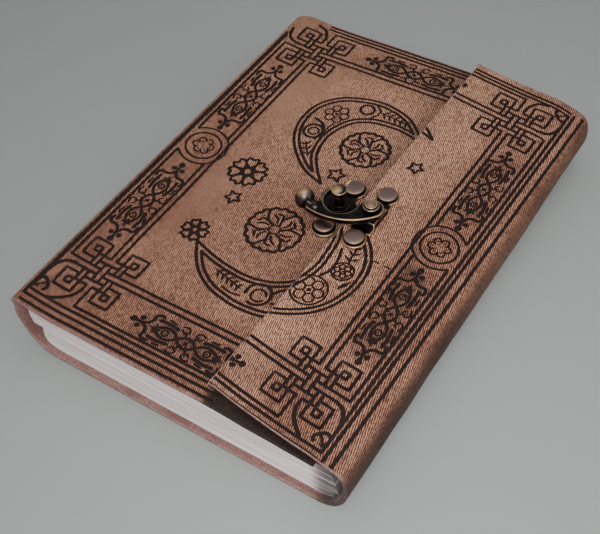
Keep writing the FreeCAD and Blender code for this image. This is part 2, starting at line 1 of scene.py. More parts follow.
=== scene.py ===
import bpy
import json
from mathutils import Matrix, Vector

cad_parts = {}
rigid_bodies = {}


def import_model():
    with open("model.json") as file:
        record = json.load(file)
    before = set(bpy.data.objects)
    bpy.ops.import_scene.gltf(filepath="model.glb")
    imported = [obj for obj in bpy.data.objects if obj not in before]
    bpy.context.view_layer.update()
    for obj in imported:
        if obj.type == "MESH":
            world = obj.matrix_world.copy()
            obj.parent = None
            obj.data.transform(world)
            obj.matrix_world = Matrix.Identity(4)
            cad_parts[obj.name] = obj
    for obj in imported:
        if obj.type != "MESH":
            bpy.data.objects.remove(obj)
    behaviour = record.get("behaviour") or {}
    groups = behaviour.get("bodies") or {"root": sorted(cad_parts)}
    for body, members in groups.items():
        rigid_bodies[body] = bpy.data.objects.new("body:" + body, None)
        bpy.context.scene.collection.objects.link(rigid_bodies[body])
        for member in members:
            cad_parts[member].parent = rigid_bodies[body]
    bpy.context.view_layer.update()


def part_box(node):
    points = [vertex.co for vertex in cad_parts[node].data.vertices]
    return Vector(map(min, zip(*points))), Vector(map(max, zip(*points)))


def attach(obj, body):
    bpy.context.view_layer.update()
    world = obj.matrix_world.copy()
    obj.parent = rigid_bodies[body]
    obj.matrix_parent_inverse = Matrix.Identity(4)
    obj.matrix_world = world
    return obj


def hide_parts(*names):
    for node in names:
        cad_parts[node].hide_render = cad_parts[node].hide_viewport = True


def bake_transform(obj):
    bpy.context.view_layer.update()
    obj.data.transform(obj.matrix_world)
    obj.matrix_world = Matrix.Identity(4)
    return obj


bl_info = {
    "name": "Leather diary",
    "version": (1, 0, 0),
    "blender": (4, 5, 0),
    "location": "3D View > Sidebar > Diary",
    "description": "Dresses a leather diary: embossed hide, folded pages and a brass clasp",
    "category": "Object",
}

import json
from math import ceil, cos, degrees, pi, radians, sin, sqrt, tan

import bpy
import bmesh
import numpy as np
from mathutils import Matrix, Vector, geometry, kdtree, noise

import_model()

# ---- the diary's own frame: millimetres, X from the spine, Y from the tail edge ------
MM = 0.001
LEATHER = 1.6
COVER_LENGTH = 180.0
COVER_TOP = 24.0
DROOP = 3.65                   # degrees by which the cover falls towards its free edge
WRAP_LENGTH = 178.5
TOE_X = 116.8
FLAP_EDGE_X = 77.5
FLAP_TILT = tan(radians(1.17))
CLASP_Y = 89.8
RECEIVER_X = 71.9
HOOK_PLATE_X = 84.6
SPINE_HEAD_ROUND, SPINE_TAIL_ROUND = 8.0, 0.8
pivot_low, pivot_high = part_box("hook_pivot")
SHIFT_X = (pivot_low.x + pivot_high.x) / 2 / MM - HOOK_PLATE_X
SHIFT_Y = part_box("cover_leather")[0].y / MM


def spot(x, y, z):
    """A point of the diary's own frame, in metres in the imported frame."""
    return ((x + SHIFT_X) * MM, (y + SHIFT_Y) * MM, z * MM)


# ---- the path of the hide's outer face, from the front cover's free edge --------------
def trace(start, heading, moves):
    """Samples (run, x, z, heading) along straight runs (length,) and bends (radius, turn)."""
    x, z, a, run = start[0], start[1], radians(heading), 0.0
    rows, marks = [(run, x, z, a)], [run]
    for move in moves:
        if len(move) == 1:
            x, z, run = x + move[0] * cos(a), z + move[0] * sin(a), run + move[0]
            rows.append((run, x, z, a))
        else:
            radius, turn = move[0], radians(move[1])
            side = 1.0 if turn > 0 else -1.0
            parts = ceil(abs(turn) / 0.03)
            x0, z0, a0, run0 = x, z, a, run
            for k in range(1, parts + 1):
                a = a0 + turn * k / parts
                x = x0 + side * radius * (sin(a) - sin(a0))
                z = z0 - side * radius * (cos(a) - cos(a0))
                run = run0 + radius * abs(turn) * k / parts
                rows.append((run, x, z, a))
        marks.append(run)
    return np.array(rows), marks


def hide_path():
    """The whole bent path of the hide and the runs at which its bends start and end."""
    droop_bend, spine_bend = (30.0, DROOP), (12.0, 70.0)
    rows, _ = trace((0, 0), 180 - DROOP, [droop_bend])
    droop_x = RECEIVER_X + 4.6
    droop_run = (TOE_X + 0.2 - droop_x + rows[-1][1]) / cos(radians(DROOP))
    rows, _ = trace((0, 0), 180 - DROOP, [(droop_run,), droop_bend])
    start = (droop_x - rows[-1][1], COVER_TOP - rows[-1][2])
    # over the front cover, down a slight crease, up to the ridge and round the spine's top
    top = [(droop_run,), droop_bend, (droop_x - 16.0,), (10.0, -5.7), (14.4,),
           (2.4, 80.7), (15.0, 35.0)]
    rows, _ = trace(start, 180 - DROOP, top)
    foot, _ = trace((0, 0), degrees(rows[-1][3]), [spine_bend])
    spine_run = (rows[-1][2] + foot[-1][2]) / -sin(rows[-1][3])
    # down the spine, along the back cover and round the fore edge to the flap
    rows, _ = trace(start, 180 - DROOP, top + [(spine_run,), spine_bend])
    moves = top + [(spine_run,), spine_bend, (TOE_X - rows[-1][1],), (10.0, 55.0),
                   (18.9, 50.0), (5.0, 50.0), (28.0, 25.0), (52.0,)]
    return moves, *trace(start, 180 - DROOP, moves)


MOVES, PATH, MARKS = hide_path()
(FRONT, _, DROOP_HIGH, CREASE, _, RISE_END, SPINE_TOP, SPINE_LOW, FOOT, BACK, TOE,
 TOE_END, SHOULDER, BROW, FLAT, FLAP_END) = MARKS
SEAM_BACK = TOE - 4.0          # hidden join under the back cover
SEAM_WALL = TOE_END + 5.0      # join low on the wrap, under all of the pattern
SPINE_X = float(PATH[:, 1].min())
BACK_X = float(np.interp(BACK, PATH[:, 0], PATH[:, 1]))


def along(run, column):
    """X (1), Z (2) or heading (3) of the path at a run."""
    return np.interp(run, PATH[:, 0], PATH[:, column])


def run_on_cover(x):
    """Run at a distance x from the spine, on the front cover."""
    rows = PATH[PATH[:, 0] <= RISE_END]
    return np.interp(x, rows[::-1, 1], rows[::-1, 0])


def run_on_flap(x):
    """Run at a distance x from the spine, on the flap."""
    rows = PATH[PATH[:, 0] >= SHOULDER + 1.0]
    return np.interp(x, rows[::-1, 1], rows[::-1, 0])


def creep(x):
    """How far the flap has crept towards the head at a distance x from the spine."""
    u = np.maximum(0.0, 120.0 - x)
    return 0.078 * u + 0.0013 * u * u


def flap_edge(y):
    """Distance of the flap's free edge from the spine, at a distance y from the tail."""
    return FLAP_EDGE_X + FLAP_TILT * (y - COVER_LENGTH / 2)


# ---- the stamped ornament, as strokes (points, half width) -----------------------------
LINE = 0.62
BAND = 1.25                    # half the gap between the two lines of a band
PATTERN_X, PATTERN_Y = 60.7, 92.8
KNOT_X, KNOT_Y = 43.3, 68.3    # the knots' middles, from the middle of the pattern
MEDALLION_X = 50.3
COVER_CARTOUCHES = ((10.0, 125.0, 90.0), (10.0, 59.2, 90.0), (59.3, 167.8, 0.0),
                    (60.0, 15.0, 0.0))
FLAP_CARTOUCHES = ((112.0, 121.5, 91.0), (111.0, 56.5, 91.0))
FIELD = (19.0, 102.0, 27.0, 158.0)     # X and Y of the field between the border lines
MOON_GAP = 1.9                 # from a moon's outline to the line inside it
BORDER_CREPT, LIFTED = 4.0, 1.66       # shifts on the flap, to the tail and to the head
CURVE_STEP, RING_STEP = 0.55, 0.6


def line(*points, half=LINE):
    """A stroke of straight parts through the points."""
    return [(np.array(points, float), half)]


def curve(*points, half=LINE, closed=False):
    """A smooth stroke through the points."""
    p = [np.array(q, float) for q in points]
    p = [p[-1]] + p + p[:2] if closed else [2 * p[0] - p[1]] + p + [2 * p[-1] - p[-2]]
    out = []
    for a, b, c, d in zip(p, p[1:], p[2:], p[3:]):
        steps = max(2, ceil(np.linalg.norm(c - b) / CURVE_STEP))
        for t in np.arange(steps) / steps:
            out.append(0.5 * (2 * b + (c - a) * t + (2 * a - 5 * b + 4 * c - d) * t * t
                              + (3 * b - a - 3 * c + d) * t ** 3))
    out.append(out[0] if closed else p[-2])
    return [(np.array(out), half)]


def ring(x, y, radius, half=LINE, low=0.0, high=360.0):
    """A round stroke, from one angle to another."""
    steps = max(10, ceil(abs(high - low) / 360 * 2 * pi * radius / RING_STEP))
    a = np.radians(np.linspace(low, high, steps + 1))
    return [(np.stack([x + radius * np.cos(a), y + radius * np.sin(a)], 1), half)]


def dot(x, y, radius):
    """A round press mark."""
    return [(np.array([[x, y]], float), radius)]


def leaf(x, y, turn, length, width, filled=True):
    """A pointed leaf from its stalk, pressed dark all over or only along its outline."""
    a = radians(turn)
    way, side = np.array([cos(a), sin(a)]), np.array([-sin(a), cos(a)])
    root = np.array([x, y], float)
    if filled:
        out = dot(*(root + way * length * 0.28), width / 2 * 0.8)
        out += dot(*(root + way * length * 0.5), width / 2)
        return out + line(root, root + way * length, half=width / 4)
    left = [root, root + way * length * 0.4 + side * width / 2, root + way * length]
    right = [root, root + way * length * 0.4 - side * width / 2, root + way * length]
    return curve(*left) + curve(*right)


def placed(strokes, x, y, turn=0.0):
    """The strokes turned about their origin and moved."""
    a = radians(turn)
    spin = np.array([[cos(a), sin(a)], [-sin(a), cos(a)]])
    return [(points @ spin + (x, y), half) for points, half in strokes]


def mirrored(strokes, both=True):
    """The strokes and their mirror images along an ornament and, if both, across it."""
    out = strokes + [(points * (-1, 1), half) for points, half in strokes]
    if both:
        out += [(points * (1, -1), half) for points, half in out]
    return out


def flower(x, y, radius, petals, core=0.24, half=0.5, turn=0.0):
    """Heart-shaped petals round an open core."""
    out = ring(0, 0, radius * core, half)
    for k in range(petals):
        petal = curve((radius * 0.3, 0), (radius * 0.62, radius * 0.30), (radius * 0.93,
                      radius * 0.22), (radius * 0.84, 0), (radius * 0.93, -radius * 0.22),
                      (radius * 0.62, -radius * 0.30), half=half, closed=True)
        out += placed(petal, 0, 0, turn + 360.0 * k / petals)
    return placed(out, x, y)


def star(x, y, radius, turn=90.0):
    """The outline of a five-pointed star."""
    corners = []
    for k in range(11):
        a = radians(turn + 36 * k)
        r = radius if k % 2 == 0 else radius * 0.45
        corners.append((x + r * cos(a), y + r * sin(a)))
    return line(*corners, half=0.58)


def rosette(x, y, radius):
    """Lace rosette: a scalloped edge round six petals parted by curved ribs."""
    a = np.radians(np.arange(0, 361, 3.0))
    edge = radius * (0.92 + 0.08 * np.abs(np.cos(9 * a)))
    out = [(np.stack([edge * np.cos(a), edge * np.sin(a)], 1), 0.68)]
    out += ring(0, 0, radius * 0.2, 0.4)
    for k in range(6):
        rib = curve((radius * 0.2, 0), (radius * 0.5, radius * 0.12),
                    (radius * 0.88, radius * 0.02), half=0.56)
        lobe = curve((radius * 0.46, radius * 0.16), (radius * 0.62, radius * 0.26),
                     (radius * 0.56, radius * 0.46), half=0.5)
        vein = curve((radius * 0.26, radius * 0.16), (radius * 0.4, radius * 0.3),
                     (radius * 0.44, radius * 0.5), half=0.5)
        out += placed(rib + lobe + vein, 0, 0, 60.0 * k + 12)
        out += placed(dot(radius * 0.72, radius * 0.2, 0.36), 0, 0, 60.0 * k + 14)
    return placed(out, x, y)


def cartouche():
    """Border ornament along U: trefoil ends, brackets, leaf bars and crossing bands."""
    quarter = dot(18.4, 1.7, 1.1)
    quarter += curve((17.2, 0.2), (15.4, 1.2), (14.7, 3.0), (14.8, 4.6), (13.2, 5.4),
                     (11.9, 5.0), half=0.66)
    quarter += line((5.2, 3.3), (9.0, 3.9), (12.8, 3.6), half=0.7)
    quarter += line((7.0, 4.9), (9.8, 5.2), half=0.45)
    quarter += dot(12.4, 1.5, 0.5) + curve((4.6, 5.2), (2.4, 5.6), (1.4, 4.2), (2.8, 3.0),
                                           (4.0, 3.9), half=0.4)
    quarter += leaf(0.8, 1.0, 62, 3.4, 1.2)
    half = dot(21.0, 0, 1.3) + line((20.2, 0), (17.0, 0), half=0.6)
    half += ring(8.3, 0, 1.15, 0.4) + dot(8.3, 0, 0.42) + line((13.2, 0), (10.6, 0), half=0.5)
    bands = [(0.0, 2.2), (2.0, 1.4), (3.6, 0.0), (5.6, -1.7), (8.2, -2.2), (10.8, -1.3),
             (13.2, 0.0)]
    out = mirrored(quarter) + mirrored(half, both=False)
    out += mirrored(curve(*bands, half=0.62)) + dot(0, 0, 0.9)
    return out


def knot(sx, sy):
    """Corner knot: two bands woven through a square loop that ends in four frets."""
    out = []
    for mu in (1, -1):
        for mv in (1, -1):
            quarter = line((4.1, BAND), (4.1, 11.8), (11.5, 11.8), (11.5, 4.0), (6.2, 4.0))
            quarter += line((6.2, BAND), (6.2, 6.5), (BAND, 6.5))
            quarter += line((6.5, 6.8), (8.9, 6.8), (8.9, 9.2), (6.5, 9.2), (6.5, 6.8),
                            half=0.64)
            out += [(points * (mu, mv), half) for points, half in quarter]
        out += line((-4.1, mu * 4.0), (4.1, mu * 4.0))
        out += line((mu * BAND, -4.0), (mu * BAND, 4.0))
        out += line((-11.5, mu * BAND), (-BAND, mu * BAND))
        out += line((mu * BAND, -11.8), (mu * BAND, -6.5))
    end = 24.5 - 8.7 if sy < 0 else 18.9 - 4.7
    out += line((BAND, -BAND), (14.0, -BAND), (14.0, -11.8))
    out += line((-BAND, 6.5), (-BAND, end), (-11.5, end))
    out += line((BAND, BAND), (10.6, BAND)) + line((BAND, 6.5), (BAND, 9.6))
    out += curve((10.6, BAND), (13.4, 2.2), (15.3, 5.0), (16.0, 8.4), half=0.72)
    out += curve((BAND, 9.6), (2.2, 12.2), (4.2, 14.6), (7.6, end + 1.4), half=0.72)
    if sx > 0 or sy < 0:
        mark = curve((1.2, -2.7), (-0.3, -2.2), (-0.9, 0.0), (-0.3, 2.2), (1.2, 2.7), half=0.7)
        mark += dot(-0.7, 0, 0.95) + line((0, 0), (3.6, 0), half=0.5)
        mark += line((2.6, -1.0), (3.6, 0), (2.6, 1.0), half=0.4)
        out += placed(mark, 13.1, 13.4, 46)
    middle = (PATTERN_X + sx * KNOT_X, PATTERN_Y + sy * KNOT_Y)
    return [(points * (sx, sy) + middle, half) for points, half in out]


def border(sx, stop):
    """Border lines on one side of the pattern, and the head and tail lines to a stop."""
    out = []
    low, high = PATTERN_Y - KNOT_Y, PATTERN_Y + KNOT_Y
    out += line(*((PATTERN_X + sx * (KNOT_X - BAND), y) for y in (low + 11.8, high - 11.8)))
    for d, gap in ((KNOT_X + BAND, 7.6), (57.3, 6.9)):
        x = PATTERN_X + sx * d
        out += line((x, low + 11.8), (x, PATTERN_Y - gap))
        out += line((x, PATTERN_Y + gap), (x, high - 11.8))
    knot_end, corner, outer = (PATTERN_X + sx * d for d in (31.8, 59.3, 61.0))
    worn_off = 13.0 if sx < 0 else 0.0     # rubbed away at the head of the spine
    out += line((corner, 6.7), (corner, 177.2 - worn_off))
    out += line((outer, 4.3), (outer, 178.9 - worn_off))
    if sx > 0:
        out += line((124.6, 1.7), (124.6, 180.4))
    for cy, heights in ((low, (8.7, 6.7, 4.3, 1.7)), (high, (175.3, 177.2, 179.0))):
        for y in (cy - BAND, cy + BAND, heights[0]):
            out += line((knot_end, y), (stop, y))
        for y in heights[1:]:
            out += line((corner + (worn_off if cy == high else 0.0), y), (stop, y))
    return out


def medallion(sx):
    """Raised ring between two round lines, over the border, with a flower inside."""
    x, y = PATTERN_X + sx * MEDALLION_X, PATTERN_Y
    inner, outer, to_border = 6.7, 9.4, 6.9
    out = ring(x, y, inner, 0.5)
    reach = degrees(np.arccos(to_border / outer))      # the outer line stops at the border
    start = 0.0 if sx > 0 else 180.0
    out += ring(x, y, outer, 0.5, start + reach, start + 360 - reach)
    for k in range(6):
        out += placed(ring(2.75, 0, 1.35, 0.42, -128, 128), x, y, 60 * k + 10)
        out += placed(dot(2.2, 1.25, 0.45), x, y, 60 * k + 40)
    return out


def crescent(outer, bite):
    """Both outlines of a moon, each with a second line inside where there is room."""
    out = curve(*outer) + curve(*bite)
    edges = [points for points, _ in out]
    for edge, other in (edges, edges[::-1]):
        way = np.gradient(edge, axis=0)
        side = np.stack([-way[:, 1], way[:, 0]], 1) / np.linalg.norm(way, axis=1)[:, None]
        middle = len(edge) // 2
        if np.dot(side[middle], other.mean(0) - edge.mean(0)) < 0:
            side = -side
        inner = edge + side * MOON_GAP
        room = np.linalg.norm(inner[:, None] - other[None], axis=2).min(axis=1)
        out.append((inner[room > 1.7], LINE))
    return out


def sprig(x, y, turn, length, pairs):
    """A stem with pairs of leaves that get smaller towards its tip."""
    out = line((0, 0), (length, 0), half=0.4)
    for k in range(pairs):
        u, size = length * (k + 0.4) / pairs, 2.7 - 1.1 * k / pairs
        out += leaf(u, 0.3, 52, size, 1.3) + leaf(u, -0.3, -52, size, 1.3)
    return placed(out, x, y, turn)


def round_petals(x, y, radius, petals):
    """A plump flower: round petals that touch, about a dark eye."""
    out = dot(x, y, radius * 0.16)
    for k in range(petals):
        out += placed(ring(radius * 0.62, 0, radius * 0.33, 0.4), x, y, 360.0 * k / petals)
    return out


def upper_moon():
    """The moon that opens towards the flap, with what fills it."""
    out = crescent(((59.2, 97.6), (49.8, 101.1), (40.9, 108.9), (35.9, 116.7),
                    (33.9, 125.6), (35.3, 134.4), (40.9, 141.7), (49.8, 145.8),
                    (58.7, 146.9), (68.7, 144.7), (75.3, 140.0), (80.5, 134.0)),
                   ((59.2, 97.6), (54.2, 103.3), (49.8, 110.0), (48.3, 117.8),
                    (49.2, 124.4), (52.6, 131.1), (58.7, 135.0), (66.4, 136.4),
                    (72.6, 136.0), (80.5, 134.0)))
    out += round_petals(44.6, 132.9, 5.2, 6)
    out += ring(41.8, 120.4, 3.7) + ring(41.8, 120.4, 2.0, 0.45)
    out += sprig(47.2, 107.8, 128, 8.0, 3)
    out += curve((38.6, 127.0), (42.6, 125.6), (45.0, 122.0), (44.6, 116.6))
    out += curve((46.4, 127.2), (45.6, 123.6), (46.2, 118.0), half=0.45)
    out += ring(53.7, 140.7, 2.7) + curve((56.2, 144.4), (58.4, 142.6), (58.6, 140.0),
                                         (57.2, 137.4), half=0.5)
    out += sprig(59.6, 141.6, -4, 12.0, 5)
    return out


def upper_moon_on_flap():
    """The horn of the upper moon, where it goes on over the flap's edge."""
    return (curve((76.5, 141.9), (79.0, 140.4), (81.6, 138.2), (84.3, 135.4))
            + curve((76.5, 138.0), (80.2, 137.1), (84.3, 135.4)))


def lower_moon():
    """The part of the lower moon on the cover, with what fills it."""
    out = crescent(((37.0, 52.8), (40.0, 47.8), (45.0, 42.3), (52.0, 38.0), (60.0, 35.9),
                    (68.0, 35.4), (76.0, 36.8), (83.0, 40.0)),
                   ((37.0, 52.8), (45.0, 50.4), (53.0, 48.8), (62.0, 48.4), (70.0, 50.4),
                    (76.0, 54.6), (80.0, 60.0), (82.0, 66.0)))
    out += ring(68.6, 43.5, 4.5, LINE, -110, 200) + ring(68.9, 43.2, 2.6, 0.5, 20, 330)
    out += sprig(50.6, 45.6, -14, 11.6, 5)
    out += curve((56.0, 40.4), (60.0, 39.6), (63.4, 40.2), half=0.45)
    out += leaf(74.2, 42.4, 16, 5.8, 2.0) + curve((73.0, 46.6), (75.0, 49.2), (78.6, 50.4))
    return out


def lower_moon_on_flap():
    """The part of the lower moon on the flap, with what fills it."""
    out = crescent(((66.0, 35.0), (71.0, 36.0), (76.8, 37.9), (82.8, 40.6), (88.8, 44.8),
                    (93.1, 50.4), (95.7, 57.9), (96.2, 64.9), (94.8, 71.9), (91.4, 77.9),
                    (86.8, 82.9)),
                   ((68.0, 47.6), (72.8, 49.4), (76.0, 52.4), (78.2, 57.9), (79.3, 63.0),
                    (79.1, 69.0), (78.2, 75.9), (76.0, 81.0)))
    out += round_petals(82.8, 52.3, 5.6, 6) + ring(82.8, 52.3, 6.3, 0.45)
    out += round_petals(88.4, 64.4, 3.2, 6) + ring(88.4, 64.4, 3.8, 0.45)
    out += sprig(88.2, 68.6, 97, 8.4, 3) + leaf(90.8, 57.4, 62, 4.6, 2.0)
    out += curve((82.8, 59.4), (84.6, 63.0), (84.4, 68.0), (83.0, 73.0))
    return out


def middle_fields():
    """Rosettes, flowers and stars round the two moons."""
    out = rosette(64.1, 120.9, 9.4) + rosette(57.2, 70.4, 10.4)
    out += flower(32.6, 89.7, 7.6, 7, half=0.62) + flower(33.0, 56.6, 5.3, 6, half=0.58)
    out += star(61.7, 104.2, 3.8) + star(35.5, 76.3, 3.5, 60)
    return out


def on_cover():
    """All strokes of the front cover, in its own X and Y."""
    out = border(-1, 86.0) + knot(-1, 1) + knot(-1, -1) + medallion(-1)
    for place in COVER_CARTOUCHES:
        out += placed(cartouche(), *place)
    out += upper_moon() + lower_moon() + middle_fields()
    return out


def on_flap():
    """All strokes of the flap: what was stamped across its edge has crept with it."""
    crept = border(1, 70.0) + knot(1, 1) + knot(1, -1) + medallion(1)
    out = []
    for points, half in parted(crept, 2.5):
        x, y = points[:, 0], points[:, 1]
        moved = (x + FLAP_TILT * (y - COVER_LENGTH / 2), y + creep(x) - BORDER_CREPT)
        out.append((np.stack(moved, 1), half))
    for place in FLAP_CARTOUCHES:
        out += placed(cartouche(), *place)
    for x, y, turn in COVER_CARTOUCHES[2:]:
        out += [(points + (0.0, LIFTED), half)
                for points, half in placed(cartouche(), x, y, turn)]
    out += upper_moon_on_flap() + lower_moon_on_flap() + star(85.9, 119.6, 3.3, 70)
    out += line((95.0, 73.6), (97.0, 73.4), half=0.36)
    out += line((99.0, 73.4), (101.5, 73.1), half=0.36)
    out += curve((74.2, 115.0), (75.6, 110.0), (78.0, 104.0), half=0.6)
    return out


def parted(strokes, longest):
    """The same strokes with no straight part over the longest length."""
    out = []
    for points, half in strokes:
        rows = [points[:1]]
        for a, b in zip(points, points[1:]):
            n = max(1, ceil(np.linalg.norm(b - a) / longest))
            rows.append(a + (b - a) * (np.arange(1, n + 1) / n)[:, None])
        out.append((np.concatenate(rows), half))
    return out


def in_runs(strokes, to_run, keep):
    """Strokes moved from X and Y to run and Y, where keep(x, y) holds."""
    out = []
    for points, half in parted(strokes, 2.0):
        good = keep(points[:, 0], points[:, 1])
        laid = np.stack([to_run(points[:, 0]), points[:, 1]], 1)
        cuts = np.flatnonzero(np.diff(good.astype(int))) + 1
        for piece, held in zip(np.split(laid, cuts), np.split(good, cuts)):
            if held[0] and (len(piece) > 1 or len(points) == 1):
                out.append((piece, half))
    return out


# ---- sheets of hide --------------------------------------------------------------------
RIM = ((0.35, 0.0), (0.12, 0.07), (0.0, 0.35), (0.0, 1.25), (0.12, 1.53), (0.35, LEATHER))
GROOVE_WALL = 0.24


def beside(points, half):
    """Lines along the rim and the floor's edge of a stroke, which shape the mesh there."""
    inner = max(half - GROOVE_WALL, half * 0.4)
    if len(points) == 1:
        a = np.linspace(0, 2 * pi, max(8, ceil(half * 10)) + 1)
        circle = np.stack([np.cos(a), np.sin(a)], 1)
        return [points[0] + circle * half, points[0] + circle * inner, points]
    ways = np.diff(points, axis=0)
    ways /= np.maximum(np.linalg.norm(ways, axis=1), 1e-9)[:, None]
    closed = np.allclose(points[0], points[-1], atol=1e-6)
    before = np.concatenate([ways[-1:] if closed else ways[:1], ways])
    after = np.concatenate([ways, ways[:1] if closed else ways[-1:]])
    mean = before + after
    mean /= np.maximum(np.linalg.norm(mean, axis=1), 1e-9)[:, None]
    stretch = 1 / np.maximum(np.sum(mean * after, axis=1), 0.5)
    side = np.stack([-mean[:, 1], mean[:, 0]], 1) * stretch[:, None]
    out = [points + side * offset for offset in (half, inner, -inner, -half)]
    if not closed:
        for end, way in ((0, -ways[0]), (-1, ways[-1])):
            for k, offset in ((0, half), (1, inner)):
                out.append(np.array([out[k][end], points[end] + way * offset,
                                     out[3 - k][end]]))
    return out


def rim_distance(spots, strokes):
    """Distance of each spot from the nearest stroke's rim, below 0 inside a stroke."""
    best = np.full(len(spots), 9.0)
    for points, half in strokes:
        reach = half + 1.5
        low, high = points.min(0) - reach, points.max(0) + reach
        near = np.flatnonzero(np.all((spots >= low) & (spots <= high), axis=1))
        if not len(near):
            continue
        a = points[:-1] if len(points) > 1 else points
        b = points[1:] if len(points) > 1 else points
        way = b - a
        length = np.maximum(np.sum(way * way, axis=1), 1e-12)
        for part in np.array_split(near, max(1, len(near) * len(a) // 2000000)):
            p = spots[part][:, None, :]
            t = np.clip(np.sum((p - a) * way, axis=2) / length, 0, 1)
            d = np.linalg.norm(p - a - t[..., None] * way, axis=2).min(axis=1) - half
            best[part] = np.minimum(best[part], d)
    return best


def eased(value, low, high):
    """0 below low and 1 above high, with a smooth rise between them."""
    t = np.clip((value - low) / (high - low), 0, 1)
    return t * t * (3 - 2 * t)


def swell(run, y):
    """Handmade unevenness of the hide, outwards; none under the clasp's plates."""
    stops = [FRONT, DROOP_HIGH, CREASE, RISE_END, SPINE_LOW, FOOT, BACK, TOE, TOE_END,
             SHOULDER, BROW, FLAT, FLAP_END]
    rates = [-0.3, -0.25, -0.3, -0.15, 0.35, 0.2, -0.15, -0.15, 0.3, 0.35, 0.25, 0.3, 0.35]
    rate = np.interp(run, stops, rates)
    field = np.array([noise.noise(Vector((r / 17.0, v / 21.0, 3.7))) * 0.8
                      + noise.noise(Vector((r / 7.0, v / 8.0, 9.1))) * 0.3
                      for r, v in zip(run, y)])
    x = along(run, 1)
    on_top = (run < CREASE) | (run > BROW)
    clasp = np.hypot(np.maximum(0, np.abs(x - 78.0) - 12.0),
                     np.maximum(0, np.abs(y - CLASP_Y) - 17.0))
    held = np.where(on_top, eased(clasp, 0.0, 9.0), 1.0)
    return rate * np.clip(0.5 + field, 0, 1) * held


def laid(run, y, depth):
    """Points of the hide at a depth under its outer face."""
    x, z, a = along(run, 1), along(run, 2), along(run, 3)
    inset = depth - swell(run, y)
    return np.stack([(x - inset * np.sin(a) + SHIFT_X) * MM, (y + SHIFT_Y) * MM,
                     (z + inset * np.cos(a)) * MM], 1)


def bend_stops(low, high, longest):
    """Runs close enough together to follow every bend between two runs."""
    stops = [low]
    for move, first, last in zip(MOVES, MARKS, MARKS[1:]):
        a, b = max(first, low), min(last, high)
        if b - a < 1e-6:
            continue
        gap = longest if len(move) == 1 else min(longest, move[0] * radians(9.0))
        n = max(1, ceil((b - a) / gap))
        stops += list(a + (b - a) * np.arange(1, n + 1) / n)
    return np.array(stops)


